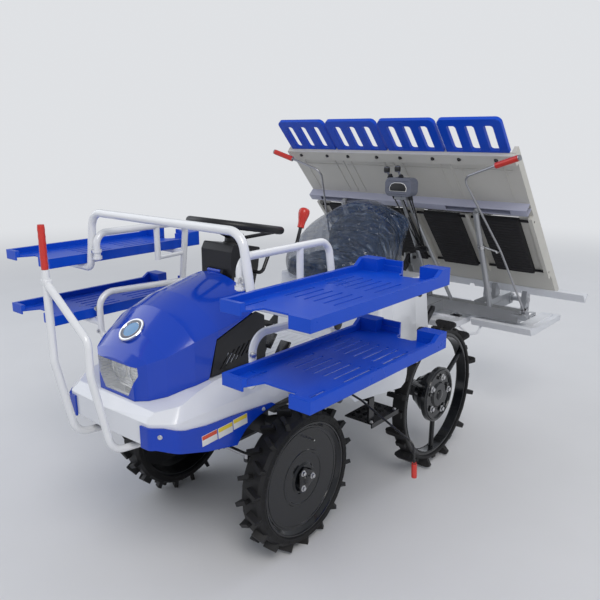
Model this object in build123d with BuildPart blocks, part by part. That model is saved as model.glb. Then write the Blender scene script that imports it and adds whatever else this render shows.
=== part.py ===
"""Riding rice transplanter with four rows, in millimetres.

X points to the machine's left, Y to its rear and Z up. The origin is on the ground, under the
middle of the machine's length and width. The planting unit is shown raised, as it is parked.
"""

from build123d import *
import math
import os

os.makedirs("parts", exist_ok=True)

# Driving dimensions: the move that puts the middle of the length at Y = 0
MIDDLE_Y = -20.0

# Wheels
FRONT_AXLE_Y = -585.0
WHEELBASE = 865.0
REAR_AXLE_Y = FRONT_AXLE_Y + WHEELBASE
FRONT_TRACK = 670.0
REAR_TRACK = 800.0
FRONT_TYRE_R = 268.0
FRONT_TYRE_W = 92.0
FRONT_LUG = 22.0
FRONT_LUGS = 36
FRONT_LUG_T = 15.0
TYRE_SIDES = 36
FRONT_RIM_R = 214.0
REAR_TYRE_R = 332.0
REAR_TYRE_W = 58.0
REAR_LUG = 36.0
REAR_LUGS = 12
REAR_LUG_W = 96.0
REAR_KNOB = 14.0
REAR_RIM_T = 16.0
KINGPIN_X = 235.0
RUN_GAP = 0.3
PLAY = 5.0

# Chassis
RAIL_X = 132.0
RAIL_W = 45.0
RAIL_Z = 460.0
RAIL_H = 60.0
RAIL_FRONT_Y = -1010.0
RAIL_REAR_Y = 410.0
RAIL_TOP = RAIL_Z + RAIL_H

# Body
COWL_HALF = 275.0
COWL_TOP_HALF = 229.0
COWL_FRONT_Y = -1134.0
COWL_REAR_Y = -562.0
COWL_LIP = 620.0
COWL_TOP = 699.0
COWL_WALL = 4.0
HOOD_HALF = 222.0
HOOD_FRONT_Y = -1086.0
HOOD_REAR_Y = -655.0
HOOD_TOP = 985.0
PANEL = 4.0
DECK_HALF = 340.0
WING_HALF = 440.0
DECK_TOP = 568.0
DECK_REAR_Y = 400.0
SEAT_Z = 845.0
CUSHION_TOP = 940.0
BACK_TOP = 1150.0

# Guard hoop and spare seedling racks
HOOP_Y = -885.0
HOOP_TOP = 1189.0
HOOP_R = 14.0
RACK_R = 13.0
FOOT_Y = -785.0
RACK_X = 404.0
RACK_REAR_Y = -465.0
TRAY_IN = 444.0
TRAY_W = 320.0
TRAY_FRONT_Y = -1035.0
TRAY_L = 702.0
TRAY_H = 36.0
TRAY_LOW = 817.0
TRAY_HIGH = 1030.0

# Planting unit
ROW_PITCH = 300.0
ROWS = 4
TABLE_TILT = 47.5
TABLE_FOOT_Y = 1127.1
TABLE_FOOT_Z = 667.5
TABLE_LEN = 980.0
WALL_T = 18.0
SHEET_T = 6.0
TABLE_TRAVEL = 140.0
CASE_X = ROW_PITCH
ROTOR_Y = 1255.0
ROTOR_Z = 578.0
ROTOR_R = 86.0
BEAM_Y = 880.0
BEAM_Z = 585.0
BEAM_S = 60.0
LINK_LOW = (400.0, 300.0)
LINK_LOW_END = (720.0, 588.0)
LINK_RISE = 260.0
LINK_SHIFT = -20.0
CYL_BASE = (250.0, 495.0)
FLOAT_Z = 498.0
FLOAT_H = 32.0


def keep(piece, name):
    """Moves a finished piece so that the middle of the length is at Y = 0, labels it and writes it."""
    with BuildPart() as placed:
        add(piece.part.moved(Location((0, MIDDLE_Y, 0))))
    placed.part.label = name
    export_step(placed.part, f"parts/{name}.step")


def block(x, y, z, mode=Mode.ADD):
    """A box between a pair of X, a pair of Y and a pair of Z values, in the open part."""
    with Locations(((x[0] + x[1]) / 2, (y[0] + y[1]) / 2, (z[0] + z[1]) / 2)):
        Box(x[1] - x[0], y[1] - y[0], z[1] - z[0], mode=mode)


def tube(route, bends, radius):
    """A round bar along straight runs that are joined by arcs."""
    with BuildPart() as bar:
        with BuildLine() as path:
            if len(route) == 2:
                Line(*route)
            else:
                FilletPolyline(*route, radius=bends)
        with BuildSketch(Plane(origin=path.line @ 0, z_dir=path.line % 0)):
            Circle(radius)
        sweep(path=path.line)
    return bar.part


def cross_pin(at, x_low, x_high, radius):
    """A round pin along X."""
    return tube([(x_low, at[0], at[1]), (x_high, at[0], at[1])], 0, radius)


def side_prism(outline, x_low, x_high, round_by=0.0):
    """A solid between two X values whose side view is the outline of Y and Z."""
    with BuildPart() as solid:
        with BuildSketch(Plane(origin=(x_low, 0, 0), x_dir=(0, 1, 0), z_dir=(1, 0, 0))) as face:
            with BuildLine():
                Polyline(*outline, close=True)
            make_face()
            if round_by:
                fillet(face.vertices(), round_by)
        extrude(amount=x_high - x_low)
    return solid.part


def plan_prism(outline, z_low, z_high, round_by=0.0):
    """A solid between two Z values whose plan is the outline of X and Y."""
    with BuildPart() as solid:
        with BuildSketch(Plane.XY.offset(z_low)) as face:
            with BuildLine():
                Polyline(*outline, close=True)
            make_face()
            if round_by:
                fillet(face.vertices(), round_by)
        extrude(amount=z_high - z_low)
    return solid.part


def front_prism(outline, y_low, y_high, round_by=0.0):
    """A solid between two Y values whose front view is the outline of X and Z."""
    with BuildPart() as solid:
        with BuildSketch(Plane(origin=(0, y_low, 0), x_dir=(1, 0, 0), z_dir=(0, -1, 0))) as face:
            with BuildLine():
                Polyline(*outline, close=True)
            make_face()
            if round_by:
                fillet(face.vertices(), round_by)
        extrude(amount=y_low - y_high)
    return solid.part


def both_sides(half):
    """The points of a half outline, from front to rear at +X, and their mirror back again."""
    return list(half) + [(-x, y) for x, y in reversed(half)]


# Chassis: two rails with cross members, engine bearers, brackets for the axles and foot steps
STEP_Y = (-262.0, -72.0)
STEP_X = 436.0
STEP_Z = 378.0
ARM_HALF = 12.0
ARM_LOW = 542.0
FRONT_FOOT_X = 247.0
FRONT_FOOT_Z = 600.0
PIN_R = 9.0
UPPER_START = (LINK_LOW[0] + LINK_SHIFT, LINK_LOW[1] + LINK_RISE)
UPPER_END = (LINK_LOW_END[0] + LINK_SHIFT, LINK_LOW_END[1] + LINK_RISE)
DECK_SEAT_Z = DECK_TOP - 5.0 - RUN_GAP
TOW_HOLE_R = 9.0
tower_side = [(160.0, 480.0), (192.0, 480.0), (262.0, 525.0), (400.0, 538.0), (402.0, 575.0), (392.0, 582.0),
              (368.0, 582.0),
              (340.0, 557.0), (235.0, 545.0), (160.0, 515.0)]
barrel_ear = [(160.0, 468.0), (235.0, 473.0), (264.0, 482.0), (264.0, 504.0), (250.0, 512.0), (160.0, 508.0)]
frame_ears = [side_prism(tower_side, 14.5, 22.5), side_prism(tower_side, -22.5, -14.5),
              side_prism(barrel_ear, 24.3, 32.3), side_prism(barrel_ear, -32.3, -24.3)]
frame_holes = [cross_pin(UPPER_START, -60.0, 60.0, PIN_R + RUN_GAP),
               cross_pin(CYL_BASE, -60.0, 60.0, 8.0 + RUN_GAP),
               cross_pin(LINK_LOW, -160.0, 160.0, PIN_R + RUN_GAP)]
with BuildPart() as main_frame:
    for side in (-1, 1):
        rail = (side * RAIL_X - RAIL_W / 2, side * RAIL_X + RAIL_W / 2)
        block(rail, (RAIL_FRONT_Y, RAIL_REAR_Y), (RAIL_Z, RAIL_TOP))
        foot = sorted((side * RAIL_X, side * (FRONT_FOOT_X + 18.7)))
        block(foot, (FOOT_Y - 20.0, FOOT_Y + 20.0), (RAIL_TOP - 10.0, RAIL_TOP))
        post = sorted((side * (FRONT_FOOT_X - 14.0), side * (FRONT_FOOT_X + 14.0)))
        block(post, (FOOT_Y - 14.0, FOOT_Y + 14.0), (RAIL_TOP - 10.0, FRONT_FOOT_Z))
        arm = sorted((side * (RAIL_X - RAIL_W / 2), side * (RACK_X + RACK_R)))
        block(arm, (RACK_REAR_Y - ARM_HALF, RACK_REAR_Y + ARM_HALF), (ARM_LOW, ARM_LOW + 15.0))
        riser = sorted((side * (RAIL_X - RAIL_W / 2), side * (RAIL_X + RAIL_W / 2)))
        block(riser, (RACK_REAR_Y - ARM_HALF, RACK_REAR_Y + ARM_HALF), (RAIL_TOP - 2.0, ARM_LOW + 15.0))
        step_bar = sorted((side * (RAIL_X - 3.0), side * (STEP_X - 20.0)))
        block(step_bar, (STEP_Y[0] + 12.0, STEP_Y[0] + 30.0), (RAIL_Z + 4.0, RAIL_Z + 20.0))
        hang = sorted((side * (STEP_X - 26.0), side * (STEP_X - 18.0)))
        block(hang, (STEP_Y[0] + 4.0, STEP_Y[0] + 38.0), (STEP_Z, RAIL_Z + 20.0))
        tread = sorted((side * (STEP_X - 130.0), side * STEP_X))
        block(tread, STEP_Y, (STEP_Z, STEP_Z + 5.0))
        lip = sorted((side * (STEP_X - 5.0), side * STEP_X))
        block(lip, STEP_Y, (STEP_Z - 14.0, STEP_Z + 5.0))
        hanger = sorted((side * (RAIL_X - 12.0), side * (RAIL_X - 4.0)))
        block(hanger, (LINK_LOW[0] - 30.0, LINK_LOW[0] + 22.0), (LINK_LOW[1] - 24.0, RAIL_Z + 5.0))
    for cross_y in (RAIL_FRONT_Y + 25.0, -440.0, 60.0, 170.0):
        block((-RAIL_X, RAIL_X), (cross_y - 22.0, cross_y + 22.0), (RAIL_Z, RAIL_TOP))
    with Locations(*[(s * RAIL_X, y, (RAIL_TOP + DECK_SEAT_Z) / 2)
                     for s in (-1, 1) for y in (-500.0, -160.0, 300.0)]):
        Cylinder(14.0, DECK_SEAT_Z - RAIL_TOP)
    with Locations((0, RAIL_FRONT_Y + 25.0, RAIL_Z)):
        Cylinder(TOW_HOLE_R, 4 * RAIL_H, mode=Mode.SUBTRACT)
    for ear in frame_ears:
        add(ear)
    for hole in frame_holes:
        add(hole, mode=Mode.SUBTRACT)
keep(main_frame, "main_frame")

# Front axle: transmission case, two arms and the kingpin sleeves at their ends
AXLE_ARM_Z = 420.0
AXLE_ARM_R = 36.0
SLEEVE_R = 42.0
SLEEVE_Z = (380.0, 458.0)
KINGPIN_R = 15.0
CASE_Y = (-682.0, -470.0)
with BuildPart() as front_axle_case:
    block((-86.0, 86.0), CASE_Y, (318.0, RAIL_Z - RUN_GAP))
    with Locations(Plane(origin=(0, FRONT_AXLE_Y, AXLE_ARM_Z), z_dir=(1, 0, 0))):
        Cylinder(AXLE_ARM_R, 2 * KINGPIN_X)
    with Locations(*[(s * KINGPIN_X, FRONT_AXLE_Y, sum(SLEEVE_Z) / 2) for s in (-1, 1)]):
        Cylinder(SLEEVE_R, SLEEVE_Z[1] - SLEEVE_Z[0])
    with Locations(*[(s * KINGPIN_X, FRONT_AXLE_Y, sum(SLEEVE_Z) / 2) for s in (-1, 1)]):
        Cylinder(KINGPIN_R + RUN_GAP, 2 * SLEEVE_Z[0], mode=Mode.SUBTRACT)
    chamfer(front_axle_case.edges().filter_by(Axis.Y).group_by(Axis.Z)[0], 30.0)
keep(front_axle_case, "front_axle_case")

# Rear axle: gear case, two tubes, flanges and the torque tube from the transmission
REAR_FLANGE_X = 342.0
GEAR_CASE_R = 74.0
TUBE_R = 37.0
torque_tube = tube([(0, CASE_Y[1] + 2.4, 395.0), (0, REAR_AXLE_Y, REAR_TYRE_R + 10.0)], 0, 30.0)
with BuildPart() as rear_axle_case:
    with Locations(Plane(origin=(0, REAR_AXLE_Y, REAR_TYRE_R), z_dir=(1, 0, 0))):
        Cylinder(GEAR_CASE_R, 150.0)
        Cylinder(TUBE_R, 2 * REAR_FLANGE_X)
    for side in (-1, 1):
        with Locations(Plane(origin=(side * (REAR_FLANGE_X - 8.0), REAR_AXLE_Y, REAR_TYRE_R),
                             z_dir=(1, 0, 0))):
            Cylinder(60.0, 16.0)
        plate = sorted((side * (RAIL_X - 12.0), side * (RAIL_X + 12.0)))
        block(plate, (REAR_AXLE_Y - 40.0, REAR_AXLE_Y + 40.0), (REAR_TYRE_R, RAIL_Z - RUN_GAP))
    add(torque_tube)
keep(rear_axle_case, "rear_axle_case")

# Engine: one plain block on the rails
with BuildPart() as engine:
    block((-115.0, 115.0), (-985.0, -720.0), (RAIL_TOP + RUN_GAP, 800.0))
    fillet(engine.edges().filter_by(Axis.Z), 15.0)
keep(engine, "engine")

# Lower cowl: a white shell around the foot of the hood, drawn in towards its top
ARCH = [(-812.0, 481.0), (-785.0, 505.0), (-755.0, 521.0), (-725.0, 531.0), (-685.0, 540.0)]
STRIP_FRONT = (-1200.0, 545.0)
STRIP_LOW = (-826.0, 462.0)
STRIP_REAR = (-638.0, 546.0)
under_cowl = [(-1200.0, 300.0), STRIP_FRONT, (-1116.0, 545.0), (-954.0, 494.0), STRIP_LOW] + ARCH + [
    STRIP_REAR, (COWL_REAR_Y - 5.0, 549.0), (COWL_REAR_Y + 20.0, 549.0), (COWL_REAR_Y + 20.0, 300.0)]
over_cowl = [(-1200.0, 576.0), (-1126.0, 625.0), (-1094.0, 647.0), (-1024.0, 662.0), (-960.0, 679.0),
             (-884.0, 692.0), (-800.0, COWL_TOP), (-500.0, COWL_TOP), (-500.0, 900.0), (-1200.0, 900.0)]


def cowl_outline(half, front, inset):
    """The cowl's plan at one height: a wide nose with rounded corners."""
    side = half - inset
    nose = front + inset
    with BuildSketch() as face:
        with BuildLine():
            Polyline((-side, COWL_REAR_Y), (-side, nose + 66.0), (-side + 62.0, nose + 9.0), (0, nose),
                     (side - 62.0, nose + 9.0), (side, nose + 66.0), (side, COWL_REAR_Y), close=True)
        make_face()
        fillet(face.vertices().group_by(Axis.Y)[-2], 42.0)
        fillet(face.vertices().sort_by(Axis.Y)[1:3], 30.0)
    return face.sketch


def cowl_solid(inset):
    """The cowl's outer form, or its inner form when inset."""
    with BuildPart() as form:
        with BuildSketch(Plane.XY.offset(400.0)):
            add(cowl_outline(COWL_HALF, COWL_FRONT_Y, inset))
        extrude(amount=COWL_LIP - 400.0)
        with BuildSketch(Plane.XY.offset(COWL_LIP)):
            add(cowl_outline(COWL_HALF, COWL_FRONT_Y, inset))
        with BuildSketch(Plane.XY.offset(COWL_TOP + 5.0)):
            add(cowl_outline(COWL_TOP_HALF, COWL_FRONT_Y + 78.0, inset))
        loft(ruled=True)
    return form.part


cowl_outer = cowl_solid(0.0)
cowl_inner = cowl_solid(COWL_WALL)
below_cowl = side_prism(under_cowl, -400.0, 400.0)
above_cowl = side_prism(over_cowl, -400.0, 400.0)
above_inner = side_prism([(y, z - COWL_WALL) for y, z in over_cowl], -400.0, 400.0)
hood_opening = plan_prism(both_sides([(92.0, -1062.0), (140.0, -1034.0), (178.0, -968.0), (202.0, -880.0),
                                      (202.0, COWL_REAR_Y + 10.0)]), 600.0, 720.0)
inner_space = cowl_inner - above_inner
with BuildPart() as lower_cowl:
    add(cowl_outer)
    add(above_cowl, mode=Mode.SUBTRACT)
    add(inner_space, mode=Mode.SUBTRACT)
    add(hood_opening, mode=Mode.SUBTRACT)
    add(below_cowl, mode=Mode.SUBTRACT)
    for side in (-1, 1):
        with Locations((side * FRONT_FOOT_X, FOOT_Y, 640.0)):
            Cylinder(RACK_R + 4.0, 200.0, mode=Mode.SUBTRACT)
keep(lower_cowl, "lower_cowl")

# Bumper strips: a blue band around each front corner of the cowl, deeper towards the wheel
STRIP_T = 6.0
STRIP_IN = 178.0
strip_shell = cowl_solid(-RUN_GAP - STRIP_T) - cowl_solid(-RUN_GAP)
strip_side = [(-1200.0, 530.0), (-1118.0, 540.0), (-954.0, 489.0), (STRIP_LOW[0], 462.0)] + ARCH + [
    (STRIP_REAR[0], 547.0), (-655.0, 558.0), (-845.0, 572.0), (-951.0, 577.0), (-1036.0, 590.0),
    (-1095.0, 609.0), (-1200.0, 612.0)]
strip_band = side_prism(strip_side, -400.0, 400.0)
with BuildPart() as bumper_strips:
    add(strip_shell)
    add(strip_band, mode=Mode.INTERSECT)
    block((-STRIP_IN, STRIP_IN), (-1250.0, -1000.0), (500.0, 640.0), mode=Mode.SUBTRACT)
keep(bumper_strips, "bumper_strips")

# Hood: sections with a vertical side and a domed top, lofted from the nose to the rear edge
HOOD_SEAT = 1.0
HOOD_SECTIONS = ((0.0, 92.0, 758.0, 772.0), (24.0, 134.0, 776.0, 800.0), (71.0, 172.0, 793.0, 850.0),
                 (156.0, 206.0, 828.0, 912.0), (246.0, 220.0, 850.0, 945.0),
                 (431.0, HOOD_HALF, 880.0, HOOD_TOP))
HOOD_LOW = [(HOOD_FRONT_Y, 649.0), (-1024.0, 662.0), (-960.0, 679.0), (-884.0, 692.0)]
HOOD_SIDE = [(HOOD_FRONT_Y - 30.0, 649.0 + HOOD_SEAT)] + [(y, z + HOOD_SEAT) for y, z in HOOD_LOW] + [
    (-880.0, 696.0), (-847.0, 823.0), (-694.0, 876.0), (HOOD_REAR_Y + 30.0, 892.0),
    (HOOD_REAR_Y + 30.0, 1050.0),
    (HOOD_FRONT_Y - 30.0, 1050.0)]
LAMP = [(-106.0, 762.0), (106.0, 762.0), (108.0, 735.0), (62.0, 660.0), (-62.0, 660.0), (-108.0, 735.0)]
COLUMNS = ("back", "half", "side_top", "crown")


def hood_form(inset):
    """The hood's full form above the cowl, or its inner form when inset."""
    with BuildPart() as form:
        for row in HOOD_SECTIONS:
            size = dict(zip(COLUMNS, row))
            half = size["half"] - inset
            wall = inset if size["back"] < 200.0 else 0.0
            place = Plane(origin=(0, HOOD_FRONT_Y + size["back"] + wall, 0),
                          x_dir=(1, 0, 0), z_dir=(0, -1, 0))
            with BuildSketch(place):
                with BuildLine():
                    Line((-half, 600.0), (half, 600.0))
                    Line((half, 600.0), (half, size["side_top"] - inset))
                    ThreePointArc((half, size["side_top"] - inset), (0, size["crown"] - inset),
                                  (-half, size["side_top"] - inset))
                    Line((-half, size["side_top"] - inset), (-half, 600.0))
                make_face()
        loft(ruled=True)
    return form.part


hood_solid = hood_form(0.0)
hood_inner = hood_form(PANEL)
hood_side = side_prism(HOOD_SIDE, -300.0, 300.0)
hood_outer = hood_solid & hood_side
inner_rear = front_prism([(-HOOD_HALF + PANEL, 590.0), (HOOD_HALF - PANEL, 590.0), (HOOD_HALF - PANEL, 870.0),
                          (-HOOD_HALF + PANEL, 870.0)], HOOD_REAR_Y - 5.0, HOOD_REAR_Y + 20.0)
lamp_hole = front_prism(LAMP, HOOD_FRONT_Y - 30.0, HOOD_FRONT_Y + 60.0)
HINGE = (HOOD_REAR_Y + 6.0, HOOD_TOP + 3.0)
hinge_barrel = cross_pin(HINGE, -33.0, 33.0, 7.0)
hinge_bore = cross_pin(HINGE, -40.0, 40.0, 3.5 + RUN_GAP)
with BuildPart() as hood:
    add(hood_outer)
    add(hood_inner, mode=Mode.SUBTRACT)
    add(inner_rear, mode=Mode.SUBTRACT)
    add(lamp_hole, mode=Mode.SUBTRACT)
    add(hinge_barrel)
    add(hinge_bore, mode=Mode.SUBTRACT)
keep(hood, "hood")

# Headlamp: one wide lens that fills the opening in the hood's nose
lamp_plug = front_prism([(x * 0.9972, 711.0 + (z - 711.0) * 0.994) for x, z in LAMP],
                        HOOD_FRONT_Y - 30.0, HOOD_FRONT_Y + 45.0)
with BuildPart() as headlamp:
    add(hood_outer)
    add(lamp_plug, mode=Mode.INTERSECT)
keep(headlamp, "headlamp")

# Engine cowl: black side panels with slanted louvres and the wall behind the engine
LOUVRES = 7
LOUVRE_PITCH = 24.0
COWL_X = HOOD_HALF - PANEL - 3.0
panel_side = [(-872.0, COWL_TOP + RUN_GAP), (-842.0, 816.0), (-690.0, 868.0), (-660.0, 876.0), (-620.0, 855.0),
              (-615.0, 730.0), (-618.0, COWL_TOP + RUN_GAP)]
side_wall = side_prism(panel_side, COWL_X - 4.0, COWL_X)
louvre = side_prism([(-836.0, 714.0), (-828.0, 714.0), (-786.0, 762.0), (-794.0, 762.0)], -300.0, 300.0)
with BuildPart() as engine_cowl:
    add(side_wall)
    mirror(about=Plane.YZ)
    block((-COWL_X, COWL_X), (HOOD_REAR_Y - 8.0, HOOD_REAR_Y - 4.0), (COWL_TOP + RUN_GAP, 868.0))
    for k in range(LOUVRES):
        with Locations((0, LOUVRE_PITCH * k, 5.0 * k)):
            add(louvre, mode=Mode.SUBTRACT)
keep(engine_cowl, "engine_cowl")

# Floor deck: a pan with a wing on each side, in front of the rear wheel
LIP_Z = 549.0
LINK_NOTCH = 42.0
NOTCH_Y = 330.0
WING_WALL = 5.0
wing_side = [(-432.0, DECK_TOP), (-432.0, LIP_Z + 2.0), (-421.0, LIP_Z), (-383.0, 516.0), (-68.0, 475.0),
             (-38.0, 490.0), (-27.0, 520.0), (-24.0, DECK_TOP)]
wing_outer = side_prism(wing_side, DECK_HALF - 10.0, WING_HALF)
wing_inner = side_prism([(-427.0, DECK_TOP - WING_WALL), (-427.0, 400.0), (-29.0, 400.0),
                         (-29.0, DECK_TOP - WING_WALL)], DECK_HALF - 20.0, WING_HALF - WING_WALL)
deck_outline = both_sides([(DECK_HALF - 25.0, -556.0), (DECK_HALF, -531.0), (DECK_HALF, DECK_REAR_Y)])
deck_pan = plan_prism(deck_outline, LIP_Z, DECK_TOP)
with BuildPart() as floor_deck:
    add(deck_pan)
    block((5.0 - DECK_HALF, DECK_HALF - 5.0), (-526.0, DECK_REAR_Y - 5.0), (400.0, DECK_TOP - 5.0),
          mode=Mode.SUBTRACT)
    block((30.0 - DECK_HALF, DECK_HALF - 30.0), (-551.0, -520.0), (400.0, DECK_TOP - 5.0), mode=Mode.SUBTRACT)
    add(wing_outer)
    add(wing_inner, mode=Mode.SUBTRACT)
    mirror(about=Plane.YZ)
    for side in (-1, 1):
        arm = sorted((side * (DECK_HALF - 8.0), side * (DECK_HALF + 12.0)))
        block(arm, (RACK_REAR_Y - ARM_HALF - 2.0, RACK_REAR_Y + ARM_HALF + 2.0), (500.0, ARM_LOW + 17.0),
              mode=Mode.SUBTRACT)
    block((-LINK_NOTCH, LINK_NOTCH), (NOTCH_Y, DECK_REAR_Y + 5.0), (500.0, 600.0), mode=Mode.SUBTRACT)
keep(floor_deck, "floor_deck")

# Seat base: a tapered white box on the deck
BASE_Y = (-10.0, 412.0)
BASE_X = 300.0
base_plan = [(-BASE_X, BASE_Y[0]), (BASE_X, BASE_Y[0]), (BASE_X, BASE_Y[1]), (-BASE_X, BASE_Y[1])]
with BuildPart() as seat_base:
    with BuildSketch(Plane.XY.offset(DECK_TOP + RUN_GAP)) as face:
        with BuildLine():
            Polyline(*base_plan, close=True)
        make_face()
        fillet(face.vertices(), 30.0)
    extrude(amount=SEAT_Z - DECK_TOP - 2 * RUN_GAP, taper=5.0)
    with BuildSketch(Plane.XY.offset(DECK_TOP + RUN_GAP)) as face:
        with BuildLine():
            Polyline(*base_plan, close=True)
        make_face()
        fillet(face.vertices(), 30.0)
        offset(amount=-5.0)
    extrude(amount=SEAT_Z - DECK_TOP - 2 * RUN_GAP - 5.0, taper=5.0, mode=Mode.SUBTRACT)
    block((-LINK_NOTCH, LINK_NOTCH), (NOTCH_Y, BASE_Y[1] + 5.0), (500.0, 650.0), mode=Mode.SUBTRACT)
keep(seat_base, "seat_base")

# Seat: a cushion and a back with an arched top
SEAT_HALF = 205.0
SEAT_ROUND = 14.0
SHOULDER_Z = 1035.0
cushion_side = [(-60.0, SEAT_Z + RUN_GAP), (228.0, SEAT_Z + RUN_GAP), (214.0, CUSHION_TOP),
                (-60.0, CUSHION_TOP)]
back_side = [(230.5, SEAT_Z + RUN_GAP), (274.0, SEAT_Z + RUN_GAP), (318.0, BACK_TOP), (262.0, BACK_TOP),
             (217.0, CUSHION_TOP)]
with BuildPart() as seat_cushion:
    add(side_prism(cushion_side, -SEAT_HALF, SEAT_HALF))
    fillet(seat_cushion.edges().filter_by(Axis.X) + seat_cushion.edges().filter_by(Axis.Y), SEAT_ROUND)
keep(seat_cushion, "seat_cushion")
back_block = side_prism(back_side, -SEAT_HALF, SEAT_HALF)
with BuildPart() as back_arch:
    with BuildSketch(Plane(origin=(0, 200.0, 0), x_dir=(1, 0, 0), z_dir=(0, -1, 0))):
        with BuildLine():
            Polyline((-SEAT_HALF, SHOULDER_Z), (-SEAT_HALF, SEAT_Z), (SEAT_HALF, SEAT_Z),
                     (SEAT_HALF, SHOULDER_Z))
            ThreePointArc((SEAT_HALF, SHOULDER_Z), (0, BACK_TOP), (-SEAT_HALF, SHOULDER_Z))
        make_face()
    extrude(amount=-130.0)
with BuildPart() as seat_back:
    add(back_block)
    add(back_arch.part, mode=Mode.INTERSECT)
keep(seat_back, "seat_back")

# Steering column: dark housing behind the hood, with the column that carries the wheel
WHEEL_TILT = 10.5
WHEEL_C = (0.0, -540.0, 1140.0)
HUB_DROP = 45.0
wheel_axis = Vector(0, math.sin(math.radians(WHEEL_TILT)), math.cos(math.radians(WHEEL_TILT)))
hub_foot = Vector(*WHEEL_C) - wheel_axis * (HUB_DROP + 20.0)
column_foot = Vector(*WHEEL_C) - wheel_axis * 622.0
HOUSING_Y = HOOD_REAR_Y + 15.0
hinge_ear = [(HOUSING_Y + 5.0, 970.0), (HOUSING_Y + 5.0, 985.0), (HINGE[0] + 4.0, HINGE[1] + 7.0),
             (HINGE[0] - 4.0, HINGE[1] + 7.0), (HINGE[0] - 5.4, HINGE[1] - 5.0),
             (HINGE[0] + 2.0, HINGE[1] - 9.0)]
hinge_ears = [side_prism(hinge_ear, low, low + 12.0) for low in (-46.0, 34.0)]
hinge_pin = cross_pin(HINGE, -40.0, 40.0, 3.5)
column_tube = tube([tuple(column_foot), tuple(hub_foot - wheel_axis * RUN_GAP)], 0, 22.0)
shroud_high = tuple(hub_foot - wheel_axis * PLAY)[1:]
housing = side_prism([(HOUSING_Y, 800.0), (HOUSING_Y, 1060.0), (-625.0, shroud_high[1] + 15.0),
                      (-494.0, shroud_high[1] - 9.0), (-505.0, 990.0), (-565.0, 800.0)], -78.0, 78.0, 8.0)
with BuildPart() as steering_column:
    add(column_tube)
    add(housing)
    block((-150.0, 150.0), (-700.0, -600.0), (RAIL_TOP + RUN_GAP, RAIL_TOP + 12.0))
    for ear in hinge_ears:
        add(ear)
    add(hinge_pin)
keep(steering_column, "steering_column")

# Steering wheel: ring, three sloping spokes and hub
RING_R = 180.0
RING_T = 14.0
RING_SIDES = 8
with BuildPart() as ring_form:
    with BuildSketch(Plane.XZ):
        with Locations((RING_R - RING_T, 0)):
            RegularPolygon(RING_T, RING_SIDES)
    revolve(axis=Axis.Z)
    with Locations((0, 0, -HUB_DROP)):
        Cylinder(34.0, 40.0)
spokes = [tube([(math.cos(a) * 20.0, math.sin(a) * 20.0, -HUB_DROP),
                (math.cos(a) * (RING_R - RING_T), math.sin(a) * (RING_R - RING_T), 0)], 0, 9.0)
          for a in (math.radians(d) for d in (30.0, 150.0, 270.0))]
wheel_place = Plane(origin=WHEEL_C, x_dir=(1, 0, 0), z_dir=wheel_axis).location
with BuildPart() as steering_wheel:
    add(ring_form.part.moved(wheel_place))
    for spoke in spokes:
        add(spoke.moved(wheel_place))
keep(steering_wheel, "steering_wheel")

# Gear lever with its red knob
LEVER_TOP = (150.0, -350.0, 1122.0)
lever_rod = tube([(78.0 + RUN_GAP, -560.0, 985.0), (150.0, -560.0, 985.0), (150.0, -520.0, 1055.0),
                  (150.0, -372.0, 1064.0), LEVER_TOP], 18.0, 6.5)
with BuildPart() as gear_lever:
    add(lever_rod)
keep(gear_lever, "gear_lever")
knob_axis = Vector(0, 22.0, 58.0).normalized()
knob_place = Plane(origin=Vector(*LEVER_TOP) + knob_axis * RUN_GAP, x_dir=(1, 0, 0), z_dir=knob_axis).location
with BuildPart() as knob_form:
    with BuildSketch(Plane.XZ):
        with BuildLine():
            Polyline((0, 0), (10.0, 0), (12.0, 22.0), (20.0, 52.0), (19.0, 68.0), (11.0, 76.0), (0, 76.0),
                     close=True)
        make_face()
    revolve(axis=Axis.Z)
with BuildPart() as lever_knob:
    add(knob_form.part.moved(knob_place))
keep(lever_knob, "lever_knob")

# Guard hoop: one tube from under the left upper tray, over the hood and down to the right one
TUBE_END_X = 735.0
UPPER_TUBE_Z = TRAY_HIGH - TRAY_H - RUN_GAP - HOOP_R
LOWER_TUBE_Z = TRAY_LOW - TRAY_H - RUN_GAP - RACK_R
HOOP_FOOT_X = 422.0
HOOP_HEAD_X = 382.0
hoop_route = [(TUBE_END_X, HOOP_Y, UPPER_TUBE_Z), (HOOP_FOOT_X, HOOP_Y, UPPER_TUBE_Z),
              (HOOP_HEAD_X, HOOP_Y, HOOP_TOP), (-HOOP_HEAD_X, HOOP_Y, HOOP_TOP),
              (-HOOP_FOOT_X, HOOP_Y, UPPER_TUBE_Z), (-TUBE_END_X, HOOP_Y, UPPER_TUBE_Z)]
hoop_tube = tube(hoop_route, [26.0, 60.0, 60.0, 26.0], HOOP_R)
with BuildPart() as guard_hoop:
    add(hoop_tube)
keep(guard_hoop, "guard_hoop")

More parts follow.
